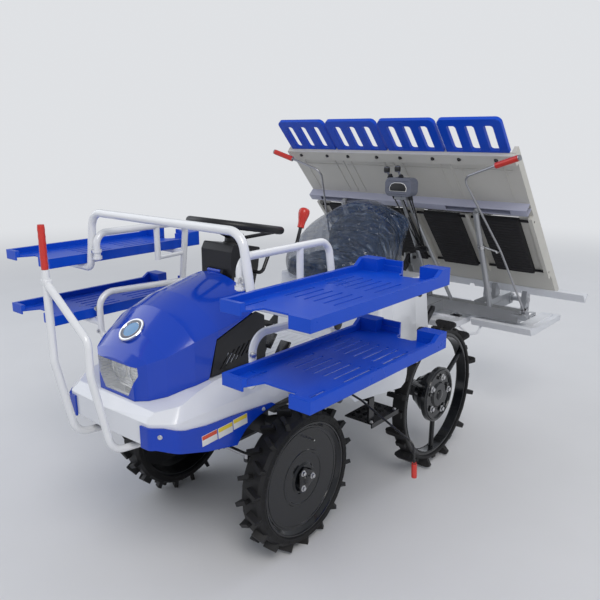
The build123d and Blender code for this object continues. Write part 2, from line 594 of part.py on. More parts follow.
# Rack frames: an upper loop clamped to the hoop, a middle tube that bends down into the front post
RAIL_TUBE_X = 372.0
RAIL_TUBE_Z = 1113.0
RAIL_END_Z = 1015.0
CLAMP_Z = 1040.0
MID_POST_Y = -613.0
MID_TUBE_Z = 882.0
POST_Y = HOOP_Y + 13.0
POST_LOW_Z = 708.0
THIN_R = 9.5
LEG_FOOT_Z = ARM_LOW + 15.0 + RUN_GAP
high_cross_z = TRAY_HIGH - TRAY_H - RUN_GAP - THIN_R
leg_share = (RAIL_TUBE_Z - high_cross_z) / (RAIL_TUBE_Z - MID_TUBE_Z)
leg_x = RAIL_TUBE_X + (RACK_X - RAIL_TUBE_X) * leg_share
upper_loop = tube([(RAIL_TUBE_X, HOOP_Y, RAIL_END_Z), (RAIL_TUBE_X, HOOP_Y, RAIL_TUBE_Z),
                   (RAIL_TUBE_X, RACK_REAR_Y, RAIL_TUBE_Z), (RACK_X, RACK_REAR_Y, MID_TUBE_Z),
                   (RACK_X, RACK_REAR_Y, LEG_FOOT_Z)], [45.0, 45.0, 60.0], RACK_R)
mid_tube = tube([(RACK_X, RACK_REAR_Y, MID_TUBE_Z - 20.0), (RACK_X, POST_Y, MID_TUBE_Z),
                 (RACK_X, POST_Y, POST_LOW_Z),
                 (FRONT_FOOT_X, FOOT_Y, POST_LOW_Z), (FRONT_FOOT_X, FOOT_Y, FRONT_FOOT_Z + RUN_GAP)],
                [60.0, 35.0, 30.0], RACK_R - 0.6)
mid_post = tube([(RAIL_TUBE_X, MID_POST_Y, RAIL_TUBE_Z), (RAIL_TUBE_X, MID_POST_Y, high_cross_z - 8.0)], 0,
                RACK_R - 1.0)
cross_tubes = [tube(ends, 0, radius) for ends, radius in (
    ([(RACK_X, POST_Y, LOWER_TUBE_Z), (TUBE_END_X, POST_Y, LOWER_TUBE_Z)], RACK_R),
    ([(RACK_X, RACK_REAR_Y, LOWER_TUBE_Z), (TUBE_END_X, RACK_REAR_Y, LOWER_TUBE_Z)], THIN_R),
    ([(leg_x, RACK_REAR_Y, high_cross_z), (TUBE_END_X, RACK_REAR_Y, high_cross_z)], THIN_R),
    ([(RAIL_TUBE_X, MID_POST_Y, high_cross_z), (leg_x, RACK_REAR_Y, high_cross_z)], THIN_R - 1.0))]
with BuildPart() as rack_frames:
    add(upper_loop)
    add(mid_tube)
    add(mid_post)
    for piece in cross_tubes:
        add(piece)
    block((RAIL_TUBE_X, RAIL_TUBE_X + 20.5), (HOOP_Y - 9.0, HOOP_Y + 9.0), (CLAMP_Z, CLAMP_Z + 16.0))
    mirror(about=Plane.YZ)
keep(rack_frames, "rack_frames")

# Spare seedling trays: a slotted pan with a notch at the front and one at the rear
RIM = 14.0
FLOOR_T = 5.0
PAN_D = 20.0
BLOCK_UP = 23.0
SLOT_W = 9.0
SLOT_PITCH = 35.5
SLOTS = 7
NOTCH_X = TRAY_IN + 164.0
SLOT_ROWS = ((-830.0, 135.0), (-634.0, 145.0))
EDGE_SLOTS = ((495.0, -991.0, 86.0), (712.0, -973.0, 62.0))


def tray(top):
    """The left-hand tray whose rim is at the given height."""
    x_in = TRAY_IN
    x_out = TRAY_IN + TRAY_W
    y_front = TRAY_FRONT_Y
    y_rear = TRAY_FRONT_Y + TRAY_L
    with BuildPart() as pan:
        block((x_in, x_out), (y_front, y_rear), (top - TRAY_H, top))
        block((x_in + 4.0, x_out - 4.0), (y_front + 4.0, y_rear - 4.0),
              (top - TRAY_H, top - PAN_D - FLOOR_T), mode=Mode.SUBTRACT)
        block((x_in + RIM, x_out - RIM), (y_front + RIM, y_rear - RIM), (top - PAN_D, top),
              mode=Mode.SUBTRACT)
        block((x_in, x_in + 76.0), (y_rear - 52.0, y_rear), (top - PAN_D - 1.0, top + BLOCK_UP))
        block((x_in, x_in + 150.0), (y_rear - 9.0, y_rear), (top - PAN_D - 1.0, top + BLOCK_UP - 4.0))
        block((x_out - 82.0, x_out), (y_rear - 50.0, y_rear), (top - PAN_D - 1.0, top + BLOCK_UP - 3.0))
        add(side_prism([(y_rear - 84.0, top - 2.0), (y_rear - 50.0, top + BLOCK_UP),
                        (y_rear - 50.0, top - 2.0)],
                       x_in, x_in + RIM))
        add(side_prism([(y_rear - 84.0, top - 2.0), (y_rear - 49.0, top + BLOCK_UP - 3.0),
                        (y_rear - 49.0, top - 2.0)],
                       x_out - RIM, x_out))
        with BuildSketch(Plane.XY.offset(top - TRAY_H - 1.0)):
            with BuildLine():
                Polyline((NOTCH_X - 85.0, y_front - 1.0), (NOTCH_X + 85.0, y_front - 1.0),
                         (NOTCH_X + 58.0, y_front + 62.0), (NOTCH_X - 58.0, y_front + 62.0), close=True)
            make_face()
            with BuildLine():
                Polyline((x_in + 146.0, y_rear + 1.0), (x_in + 241.0, y_rear + 1.0),
                         (x_in + 236.0, y_rear - 32.0),
                         (x_in + 220.0, y_rear - 50.0), (x_in + 166.0, y_rear - 50.0),
                         (x_in + 151.0, y_rear - 32.0), close=True)
            make_face()
        extrude(amount=TRAY_H + 40.0, mode=Mode.SUBTRACT)
        with BuildSketch(Plane.XY.offset(top - TRAY_H)):
            for row_y, row_len in SLOT_ROWS:
                for k in range(SLOTS):
                    slot_x = x_in + 56.0 + k * SLOT_PITCH
                    with Locations((slot_x, row_y + row_len / 2)):
                        Rectangle(SLOT_W, row_len)
            for slot_x, slot_y, slot_len in EDGE_SLOTS:
                with Locations((slot_x, slot_y + slot_len / 2)):
                    Rectangle(SLOT_W, slot_len)
        extrude(amount=TRAY_H, mode=Mode.SUBTRACT)
    return pan.part


tray_low = tray(TRAY_LOW)
tray_high = tray(TRAY_HIGH)
with BuildPart() as spare_trays:
    add(tray_low)
    add(tray_high)
    mirror(about=Plane.YZ)
keep(spare_trays, "spare_trays")

# Front handles: two bent tubes that meet under the centre marker
HANDLE_R = 12.5
HANDLE_X = 100.0
HANDLE_Z = 500.0
HANDLE_Y = -1236.5
HANDLE_TOP = 1070.0
low_bend = (-1182.0, 518.0)
handle_right = tube([(-HANDLE_X, RAIL_FRONT_Y - RUN_GAP, HANDLE_Z), (-HANDLE_X, *low_bend),
                     (-HANDLE_X, HANDLE_Y + 1.0, 780.0), (-HANDLE_X, HANDLE_Y, HANDLE_TOP)], [60.0, 80.0],
                     HANDLE_R)
handle_left = tube([(HANDLE_X, RAIL_FRONT_Y - RUN_GAP, HANDLE_Z), (HANDLE_X, *low_bend),
                    (HANDLE_X, HANDLE_Y + 1.0, 780.0), (HANDLE_X, HANDLE_Y + 2.0, 884.0),
                    (0.6 - HANDLE_X, HANDLE_Y, 1030.0)], [60.0, 80.0, 40.0], HANDLE_R - 0.8)
with BuildPart() as front_handles:
    add(handle_right)
    add(handle_left)
keep(front_handles, "front_handles")
centre_rod = tube([(-HANDLE_X, HANDLE_Y, HANDLE_TOP + RUN_GAP), (-HANDLE_X, HANDLE_Y, HANDLE_TOP + 135.0)], 0,
                  10.0)
with BuildPart() as centre_marker:
    add(centre_rod)
keep(centre_marker, "centre_marker")

# Side markers: thin bent rods with red tips beside the front wheels
SIDE_ROD_Y = -402.0
side_rod = tube([(WING_HALF + RUN_GAP, SIDE_ROD_Y, 550.0), (480.0, SIDE_ROD_Y, 540.0),
                 (700.0, SIDE_ROD_Y, 440.0), (706.0, SIDE_ROD_Y, 372.0)], [60.0, 30.0], 4.0)
side_tip = tube([(706.1, SIDE_ROD_Y, 372.0 - RUN_GAP), (708.0, SIDE_ROD_Y, 318.0)], 0, 9.0)
with BuildPart() as side_markers:
    add(side_rod)
    add(side_tip)
    mirror(about=Plane.YZ)
keep(side_markers, "side_markers")

# Steering knuckles: kingpin, drop housing, wheel spindle and steering arm
ARM_L = 150.0
ARM_Z = 352.0
HUB_X = FRONT_TRACK / 2 - 62.0
with BuildPart() as knuckle:
    with Locations((KINGPIN_X, FRONT_AXLE_Y, (SLEEVE_Z[0] - RUN_GAP + 225.0) / 2)):
        Cylinder(38.0, SLEEVE_Z[0] - RUN_GAP - 225.0)
    with Locations((KINGPIN_X, FRONT_AXLE_Y, (SLEEVE_Z[1] + SLEEVE_Z[0]) / 2 - 4.0)):
        Cylinder(KINGPIN_R, SLEEVE_Z[1] - SLEEVE_Z[0] + 8.0)
    with Locations(Plane(origin=(KINGPIN_X + 18.0, FRONT_AXLE_Y, FRONT_TYRE_R), z_dir=(1, 0, 0))):
        Cylinder(44.0, 60.0)
    with Locations(Plane(origin=((KINGPIN_X + HUB_X + 55.0) / 2, FRONT_AXLE_Y, FRONT_TYRE_R),
                         z_dir=(1, 0, 0))):
        Cylinder(16.0, HUB_X + 55.0 - KINGPIN_X)
    with BuildSketch(Plane.XY.offset(ARM_Z)):
        with BuildLine():
            Polyline((KINGPIN_X - 22.0, FRONT_AXLE_Y), (KINGPIN_X + 22.0, FRONT_AXLE_Y),
                     (KINGPIN_X + 14.0, FRONT_AXLE_Y - ARM_L),
                     (KINGPIN_X - 14.0, FRONT_AXLE_Y - ARM_L), close=True)
        make_face()
        with Locations((KINGPIN_X, FRONT_AXLE_Y - ARM_L)):
            Circle(14.0)
    extrude(amount=12.0)
    with Locations((KINGPIN_X, FRONT_AXLE_Y - ARM_L, ARM_Z)):
        Cylinder(6.0 + RUN_GAP, 60.0, mode=Mode.SUBTRACT)
with BuildPart() as knuckle_left:
    add(knuckle.part)
keep(knuckle_left, "knuckle_left")
with BuildPart() as knuckle_right:
    mirror(knuckle.part, about=Plane.YZ)
keep(knuckle_right, "knuckle_right")

# Tie rod: a bar in front of the transmission with a pin at each end
tie_bar = tube([(KINGPIN_X, FRONT_AXLE_Y - ARM_L, ARM_Z + 21.0),
                (-KINGPIN_X, FRONT_AXLE_Y - ARM_L, ARM_Z + 21.0)], 0, 8.0)
with BuildPart() as tie_rod:
    add(tie_bar)
    with Locations(*[(s * KINGPIN_X, FRONT_AXLE_Y - ARM_L, ARM_Z + 21.0) for s in (-1, 1)]):
        Cylinder(13.0, 17.4)
    with Locations(*[(s * KINGPIN_X, FRONT_AXLE_Y - ARM_L, ARM_Z + 7.0) for s in (-1, 1)]):
        Cylinder(6.0, 22.0)
keep(tie_rod, "tie_rod")

# Front wheel, about its own axis: the outer side is at +Z
DISC_Z = FRONT_TYRE_W / 2 - 8.0
with BuildPart() as front_disc:
    with BuildSketch(Plane.XZ) as section:
        with BuildLine():
            Polyline((17.0, 30.0), (17.0, -16.0), (46.0, -16.0), (46.0, 20.0), (FRONT_RIM_R - 20.0, 24.0),
                     (FRONT_RIM_R - 10.0, -DISC_Z), (FRONT_RIM_R, -DISC_Z), (FRONT_RIM_R, DISC_Z + 4.0),
                     (FRONT_RIM_R - 9.0, DISC_Z + 4.0), (FRONT_RIM_R - 22.0, 30.0), (60.0, 28.0), (52.0, 34.0),
                     close=True)
        make_face()
    revolve(axis=Axis.Z)
    with PolarLocations(34.0, 3, 90.0):
        with Locations((0, 0, 36.0)):
            Cylinder(8.0, 10.0)
FRONT_CARCASS_R = FRONT_TYRE_R - FRONT_LUG
SHOULDER_W = 12.0
SHOULDER_LEAN = 40.0
half_core = FRONT_TYRE_W / 2 - SHOULDER_W
with BuildPart() as tyre_core:
    with BuildSketch(Plane.XY.offset(-half_core)):
        RegularPolygon(FRONT_CARCASS_R, TYRE_SIDES)
    extrude(amount=2 * half_core)
    with BuildSketch(Plane.XY.offset(half_core)):
        RegularPolygon(FRONT_CARCASS_R, TYRE_SIDES)
    extrude(amount=SHOULDER_W, taper=SHOULDER_LEAN)
    with BuildSketch(Plane.XY.offset(-half_core)):
        RegularPolygon(FRONT_CARCASS_R, TYRE_SIDES)
    extrude(amount=-SHOULDER_W, taper=SHOULDER_LEAN)
with BuildPart() as front_tyre:
    add(tyre_core.part)
    for row in (0, 1):
        lean = -28.0 if row else 28.0
        turn = row * 360.0 / FRONT_LUGS
        with PolarLocations(FRONT_TYRE_R - FRONT_LUG / 2 - 4.0, FRONT_LUGS // 2, turn):
            with Locations(Location((0, 0, (row * 2 - 1) * 21.0), (lean, 0, 0))):
                Box(FRONT_LUG + 8.0, FRONT_LUG_T, 50.0)
    Cylinder(FRONT_RIM_R + RUN_GAP, 2 * FRONT_TYRE_W, mode=Mode.SUBTRACT)
for side, name in ((1, "left"), (-1, "right")):
    place = Plane(origin=(side * FRONT_TRACK / 2, FRONT_AXLE_Y, FRONT_TYRE_R), x_dir=(0, 1, 0),
                  z_dir=(side, 0, 0)).location
    with BuildPart() as disc_piece:
        add(front_disc.part.moved(place))
    keep(disc_piece, f"front_disc_{name}")
    with BuildPart() as tyre_piece:
        add(front_tyre.part.moved(place))
    keep(tyre_piece, f"front_tyre_{name}")

# Rear wheel, about its own axis: hub drum, three spokes and a narrow ring
REAR_RING_R = REAR_TYRE_R - REAR_LUG - 16.0
DRUM_IN = REAR_FLANGE_X + RUN_GAP - REAR_TRACK / 2
rear_spokes = [tube([(math.cos(a) * 80.0, math.sin(a) * 80.0, 4.0),
                     (math.cos(a) * (REAR_RING_R - 6.0), math.sin(a) * (REAR_RING_R - 6.0), 0)], 0, 11.0)
               for a in (math.radians(d) for d in (270.0, 30.0, 150.0))]
with BuildPart() as rear_rim:
    with BuildSketch(Plane.XY.offset(-22.0)):
        Circle(REAR_RING_R)
        Circle(REAR_RING_R - REAR_RIM_T, mode=Mode.SUBTRACT)
    extrude(amount=44.0)
    with BuildSketch(Plane.XZ) as section:
        with BuildLine():
            Polyline((0, DRUM_IN), (70.0, DRUM_IN), (90.0, -30.0), (96.0, 4.0), (124.0, 8.0), (124.0, 26.0),
                     (112.0, 30.0), (104.0, 24.0), (58.0, 24.0), (52.0, 32.0), (0, 32.0), close=True)
        make_face()
    revolve(axis=Axis.Z)
    for spoke in rear_spokes:
        add(spoke)
    with PolarLocations(80.0, 5, 20.0):
        with Locations((0, 0, 27.0)):
            Cylinder(8.0, 8.0)
REAR_LUG_T = 18.0
with BuildPart() as paddle:
    with BuildSketch(Plane.XZ) as face:
        with BuildLine():
            Polyline((REAR_TYRE_R - REAR_LUG - 8.0, -REAR_TYRE_W / 2 + 3.0),
                     (REAR_TYRE_R - 16.0, -REAR_LUG_W / 2),
                     (REAR_TYRE_R - 5.0, -REAR_LUG_W / 2 + 3.0), (REAR_TYRE_R, -REAR_LUG_W / 2 + 16.0),
                     (REAR_TYRE_R, REAR_LUG_W / 2 - 16.0), (REAR_TYRE_R - 5.0, REAR_LUG_W / 2 - 3.0),
                     (REAR_TYRE_R - 16.0, REAR_LUG_W / 2),
                     (REAR_TYRE_R - REAR_LUG - 8.0, REAR_TYRE_W / 2 - 3.0), close=True)
        make_face()
    extrude(amount=REAR_LUG_T / 2, both=True)
with BuildPart() as rear_tread:
    with BuildSketch(Plane.XY.offset(-REAR_TYRE_W / 2 + 3.0)):
        Circle(REAR_TYRE_R - REAR_LUG)
        Circle(REAR_RING_R + RUN_GAP, mode=Mode.SUBTRACT)
    extrude(amount=REAR_TYRE_W - 6.0)
    with PolarLocations(0.001, REAR_LUGS, 15.0):
        add(paddle.part)
    with PolarLocations(REAR_TYRE_R - REAR_LUG, REAR_LUGS):
        Box(2 * REAR_KNOB, 24.0, REAR_TYRE_W - 14.0)
for side, name in ((1, "left"), (-1, "right")):
    place = Plane(origin=(side * REAR_TRACK / 2, REAR_AXLE_Y, REAR_TYRE_R), x_dir=(0, 1, 0),
                  z_dir=(side, 0, 0)).location
    with BuildPart() as rim_piece:
        add(rear_rim.part.moved(place))
    keep(rim_piece, f"rear_rim_{name}")
    with BuildPart() as tread_piece:
        add(rear_tread.part.moved(place))
    keep(tread_piece, f"rear_tread_{name}")

# Lift linkage: two lower bars with a cross tube, one upper bar and the cylinder
LINK_T = 12.0
LINK_W = 34.0
LINK_X = RAIL_X - 4.0 + RUN_GAP


def bar_outline(start, end, half):
    """A straight bar with round ends, seen from the side."""
    along = Vector(end[0] - start[0], end[1] - start[1], 0)
    turn = math.degrees(math.atan2(along.Y, along.X))
    with BuildSketch() as face:
        with Locations(Location(((start[0] + end[0]) / 2, (start[1] + end[1]) / 2, 0), (0, 0, turn))):
            SlotCenterToCenter(along.length, 2 * half)
    return face.sketch


def side_bar(start, end, half, x_low, x_high, holes=0.0):
    """A flat bar between two pins, standing on edge between two X values."""
    with BuildPart() as bar:
        with BuildSketch(Plane(origin=(x_low, 0, 0), x_dir=(0, 1, 0), z_dir=(1, 0, 0))):
            add(bar_outline(start, end, half))
            if holes:
                with Locations(start, end):
                    Circle(holes, mode=Mode.SUBTRACT)
        extrude(amount=x_high - x_low)
    return bar.part


link_mid = ((LINK_LOW[0] + LINK_LOW_END[0]) / 2, (LINK_LOW[1] + LINK_LOW_END[1]) / 2)
lower_bar = side_bar(LINK_LOW, LINK_LOW_END, LINK_W / 2, LINK_X, LINK_X + LINK_T)
lower_pins = [cross_pin(at, LINK_X - 22.0, LINK_X + LINK_T, PIN_R) for at in (LINK_LOW, LINK_LOW_END)]
with BuildPart() as link_half:
    add(lower_bar)
    for pin in lower_pins:
        add(pin)
    mirror(about=Plane.YZ)
CROSS_R = 12.0
link_tube = cross_pin(link_mid, -LINK_X - 4.0, LINK_X + 4.0, CROSS_R)
with BuildPart() as lower_links:
    add(link_half.part)
    add(link_tube)
keep(lower_links, "lower_links")

upper_bar = side_bar(UPPER_START, UPPER_END, 17.0, -9.0, 9.0)
upper_pins = [cross_pin(at, -32.0, 32.0, PIN_R) for at in (UPPER_START, UPPER_END)]
with BuildPart() as upper_link:
    add(upper_bar)
    for pin in upper_pins:
        add(pin)
keep(upper_link, "upper_link")

cyl_dir = Vector(0, link_mid[0] - CYL_BASE[0], link_mid[1] - CYL_BASE[1])
cyl_len = cyl_dir.length
cyl_unit = cyl_dir.normalized()
BARREL_L = 270.0
ROD_EYE_R = 23.0
EYE_GAP = 3.0
EYE_SLOT = 20.0


def on_cylinder(distance):
    """The point on the cylinder's axis at a distance from its rear pin."""
    return (0, CYL_BASE[0] + cyl_unit.Y * distance, CYL_BASE[1] + cyl_unit.Z * distance)


barrel_tube = tube([on_cylinder(28.0), on_cylinder(BARREL_L)], 0, 24.0)
barrel_neck = tube([on_cylinder(4.0), on_cylinder(32.0)], 0, 13.0)
barrel_bore = tube([on_cylinder(56.0), on_cylinder(BARREL_L + 5.0)], 0, 11.0 + RUN_GAP)
barrel_eye = cross_pin(CYL_BASE, -22.0, 22.0, 17.0)
barrel_pin = cross_pin(CYL_BASE, -34.0, 34.0, 8.0)
with BuildPart() as lift_barrel:
    add(barrel_tube)
    add(barrel_neck)
    add(barrel_eye)
    add(barrel_bore, mode=Mode.SUBTRACT)
    add(barrel_pin)
keep(lift_barrel, "lift_barrel")
# The rod's eye is a slot: it lets the cross tube run on along the rod while the links lift
rod_bar = tube([on_cylinder(60.0), on_cylinder(cyl_len - CROSS_R - EYE_GAP - 1.0)], 0, 11.0)
slot_end = on_cylinder(cyl_len + EYE_SLOT)[1:]
rod_eye = side_bar(link_mid, slot_end, ROD_EYE_R, -12.0, 12.0)
rod_hole = side_bar(link_mid, slot_end, CROSS_R + EYE_GAP, -14.0, 14.0)
with BuildPart() as lift_rod:
    add(rod_bar)
    add(rod_eye)
    add(rod_hole, mode=Mode.SUBTRACT)
keep(lift_rod, "lift_rod")

# Planting unit's frame: beam, hitch, posts, stand of the control box and marker brackets
UNIT_PLATE = (RAIL_X - 12.0, RAIL_X - 4.0)
MARKER_X = 560.0
MARKER_Y = 870.0
MARKER_Z = 600.0
MARKER_LEAN = 58.5
POST_X = 380.0
marker_axis = Vector(0, math.sin(math.radians(MARKER_LEAN)), math.cos(math.radians(MARKER_LEAN)))
table_up = Vector(0, -math.cos(math.radians(TABLE_TILT)), math.sin(math.radians(TABLE_TILT)))
table_out = Vector(0, math.sin(math.radians(TABLE_TILT)), math.cos(math.radians(TABLE_TILT)))
TABLE_TOP_Y = TABLE_FOOT_Y + table_up.Y * TABLE_LEN
TABLE_TOP_Z = TABLE_FOOT_Z + table_up.Z * TABLE_LEN
TABLE_PLANE = Plane(origin=(0, TABLE_TOP_Y, TABLE_TOP_Z), x_dir=(1, 0, 0), z_dir=table_out)


def on_table(x, down, out):
    """A point given by X, the distance down the table's slope and the height over its face."""
    spot = Vector(0, TABLE_TOP_Y, TABLE_TOP_Z) - table_up * down + table_out * out
    return (x, spot.Y, spot.Z)


RAIL_DOWN = 300.0
unit_plate = side_prism([(LINK_LOW_END[0] - 22.0, LINK_LOW_END[1] - 22.0), (BEAM_Y - 20.0, BEAM_Z - 28.0),
                         (BEAM_Y - 20.0, BEAM_Z + 28.0), (LINK_LOW_END[0] - 22.0, LINK_LOW_END[1] + 22.0)],
                        UNIT_PLATE[0], UNIT_PLATE[1])
unit_hole = cross_pin(LINK_LOW_END, 90.0, 180.0, PIN_R + RUN_GAP)
tower_plate = side_prism([(BEAM_Y - 30.0, BEAM_Z), (BEAM_Y + 20.0, BEAM_Z + 20.0),
                          (UPPER_END[0] + 22.0, UPPER_END[1] + 20.0),
                          (UPPER_END[0] - 20.0, UPPER_END[1] + 20.0),
                          (UPPER_END[0] - 20.0, UPPER_END[1] - 20.0)], 14.5, 22.5)
tower_hole = cross_pin(UPPER_END, -60.0, 60.0, PIN_R + RUN_GAP)
rail_post_top = on_table(POST_X, RAIL_DOWN + 18.0, -66.0)
roller = tube([rail_post_top, on_table(POST_X, RAIL_DOWN + 18.0, -12.0)], 0, 13.0 - RUN_GAP)
rail_post = tube([(POST_X, BEAM_Y, BEAM_Z), rail_post_top], 0, 14.0)
BOX_C = (100.0, 430.0, 1225.0)
stand_tubes = [tube([(foot_x, BEAM_Y - 6.0, BEAM_Z + 20.0), (top_x, BOX_C[1] + 24.0, BOX_C[2] - 50.0)], 0, 9.0)
               for foot_x, top_x in ((45.0, 88.0), (165.0, 116.0))]
with BuildPart() as frame_half:
    add(unit_plate)
    add(unit_hole, mode=Mode.SUBTRACT)
    add(tower_plate)
    add(tower_hole, mode=Mode.SUBTRACT)
    add(rail_post)
    add(roller)
    mirror(about=Plane.YZ)
marker_lugs = []
for side in (-1, 1):
    lug_plane = Plane(origin=Vector(side * MARKER_X, MARKER_Y, MARKER_Z) - marker_axis * 13.0,
                      x_dir=(1, 0, 0), z_dir=marker_axis)
    with BuildPart() as lug:
        with BuildSketch(lug_plane):
            Circle(20.0)
            with Locations((-side * 30.0, 0)):
                Rectangle(60.0, 30.0)
        extrude(amount=-10.0)
        with BuildSketch(lug_plane):
            Circle(8.0)
        extrude(amount=26.0)
    marker_lugs.append(lug.part)
with BuildPart() as planter_frame:
    block((-MARKER_X + 25.0, MARKER_X - 25.0), (BEAM_Y - BEAM_S / 2, BEAM_Y + BEAM_S / 2),
          (BEAM_Z - BEAM_S / 2, BEAM_Z + BEAM_S / 2))
    add(frame_half.part)
    for piece in stand_tubes:
        add(piece)
    block((BOX_C[0] - 30.0, BOX_C[0] + 30.0), (BOX_C[1] - 10.0, BOX_C[1] + 40.0),
          (BOX_C[2] - 58.0, BOX_C[2] - 42.0 - RUN_GAP))
    for piece in marker_lugs:
        add(piece)
keep(planter_frame, "planter_frame")

# Control box with two levers that lean to the machine's right
BOX_HALF = (70.0, 30.0, 42.0)
box_top = BOX_C[2] + BOX_HALF[2]
box_levers = [(18.0, 1300.0), (76.0, 1306.0)]
lever_rods = [tube([(knob_x + 22.0, BOX_C[1], box_top - 8.0), (knob_x, BOX_C[1], knob_z)], 0, 5.0)
              for knob_x, knob_z in box_levers]
with BuildPart() as control_box:
    block((BOX_C[0] - BOX_HALF[0], BOX_C[0] + BOX_HALF[0]), (BOX_C[1] - BOX_HALF[1], BOX_C[1] + BOX_HALF[1]),
          (BOX_C[2] - BOX_HALF[2], box_top))
    fillet(control_box.edges().filter_by(Axis.Y), 26.0)
    for piece in lever_rods:
        add(piece)
    with Locations(*[(knob_x, BOX_C[1], knob_z) for knob_x, knob_z in box_levers]):
        Cylinder(13.0, 26.0)
keep(control_box, "control_box")

# Planting cases: from the beam back to the rotor shafts
CASE_HALF = 30.0
case_solid = side_bar((BEAM_Y + BEAM_S / 2 + 36.0, BEAM_Z), (ROTOR_Y, ROTOR_Z), 34.0,
                      CASE_X - CASE_HALF, CASE_X + CASE_HALF)
SHAFT_R = 14.0
case_bore = cross_pin((ROTOR_Y, ROTOR_Z), CASE_X - 60.0, CASE_X + 60.0, SHAFT_R + RUN_GAP)
SILL_T = 8.0
SILL_OUT = (-12.0, 40.0)
SILL_DOWN = (TABLE_LEN + 16.0, TABLE_LEN + 16.0 + SILL_T)
gate_front = on_table(0, TABLE_LEN - 33.0, SILL_OUT[0] - RUN_GAP)
gate_foot = on_table(0, SILL_DOWN[1], SILL_OUT[0] - RUN_GAP)
gate_arm = side_prism([(gate_front[1] - 15.0, 600.0), (gate_foot[1], 600.0), gate_foot[1:], gate_front[1:],
                       (gate_front[1] - 15.0, gate_front[2])], CASE_X - 12.0, CASE_X + 12.0)
with BuildPart() as planting_cases:
    add(case_solid)
    block((CASE_X - CASE_HALF, CASE_X + CASE_HALF),
          (BEAM_Y + BEAM_S / 2 + RUN_GAP, BEAM_Y + BEAM_S / 2 + 30.0), (BEAM_Z - 34.0, BEAM_Z + 34.0))
    add(gate_arm)
    add(case_bore, mode=Mode.SUBTRACT)
    mirror(about=Plane.YZ)
keep(planting_cases, "planting_cases")

# Gate rail: the sill along the table's lower edge, with a slot for the claws of each row
GATE_HALF = ROW_PITCH * ROWS / 2 + WALL_T + TABLE_TRAVEL
GATE_SLOT = 34.0
with BuildPart(TABLE_PLANE) as gate_rail:
    block((-GATE_HALF, GATE_HALF), SILL_DOWN, SILL_OUT)
    block((-GATE_HALF, GATE_HALF), (TABLE_LEN - 35.0, SILL_DOWN[1]), (SILL_OUT[0], -SHEET_T - RUN_GAP))
    for k in range(ROWS):
        row_x = (k - (ROWS - 1) / 2) * ROW_PITCH
        block((row_x - GATE_SLOT / 2, row_x + GATE_SLOT / 2), (TABLE_LEN + 2.0, SILL_DOWN[1] + 1.0),
              (SILL_OUT[0] - 1.0, SILL_OUT[1] + 1.0), mode=Mode.SUBTRACT)
keep(gate_rail, "gate_rail")

# Floats: three flat pans with open slots for the claws, linked by bent bars at the nose
FLOAT_REAR_Y = 1262.0
SIDE_NOSE_Y = 838.0
MID_NOSE_Y = 690.0
SLOT_Y = 945.0
CLAW_SLOT = 120.0


def float_side(nose_y):
    """A float's side view, with its nose turned up."""
    return [(nose_y, FLOAT_Z + FLOAT_H + 8.0), (nose_y + 22.0, FLOAT_Z + 4.0), (nose_y + 70.0, FLOAT_Z),
            (FLOAT_REAR_Y, FLOAT_Z), (FLOAT_REAR_Y, FLOAT_Z + FLOAT_H - 6.0),
            (nose_y + 90.0, FLOAT_Z + FLOAT_H), (nose_y + 20.0, FLOAT_Z + FLOAT_H + 14.0)]


side_float = side_prism(float_side(SIDE_NOSE_Y), 290.0, 605.0)
mid_float = side_prism(float_side(MID_NOSE_Y), -250.0, 250.0)
link_bar = tube([(330.0, SIDE_NOSE_Y + 60.0, FLOAT_Z + 8.0), (330.0, SIDE_NOSE_Y + 10.0, FLOAT_Z - 32.0),
                 (300.0, SIDE_NOSE_Y - 30.0, FLOAT_Z - 36.0), (225.0, SIDE_NOSE_Y - 20.0, FLOAT_Z + 8.0)],
                [22.0, 22.0], 6.0)
float_stay = (450.0, 190.0)
STAY_Z = (FLOAT_Z + FLOAT_H - 10.0, BEAM_Z - BEAM_S / 2 - RUN_GAP)
with BuildPart() as float_half:
    add(side_float)
    block((2 * ROW_PITCH - 150.0 - CLAW_SLOT / 2, 2 * ROW_PITCH - 150.0 + CLAW_SLOT / 2),
          (SLOT_Y, FLOAT_REAR_Y + 10.0), (FLOAT_Z - 10.0, FLOAT_Z + FLOAT_H + 30.0), mode=Mode.SUBTRACT)
    add(link_bar)
    mirror(about=Plane.YZ)
with BuildPart() as floats:
    add(mid_float)
    for side in (-1, 1):
        block(sorted((side * (ROW_PITCH / 2 - CLAW_SLOT / 2), side * (ROW_PITCH / 2 + CLAW_SLOT / 2))),
              (SLOT_Y, FLOAT_REAR_Y + 10.0), (FLOAT_Z - 10.0, FLOAT_Z + FLOAT_H + 30.0), mode=Mode.SUBTRACT)
        for stay_x in float_stay:
            with Locations((side * stay_x, BEAM_Y, (STAY_Z[0] + STAY_Z[1]) / 2)):
                Cylinder(8.0, STAY_Z[1] - STAY_Z[0])
    add(float_half.part)
keep(floats, "floats")

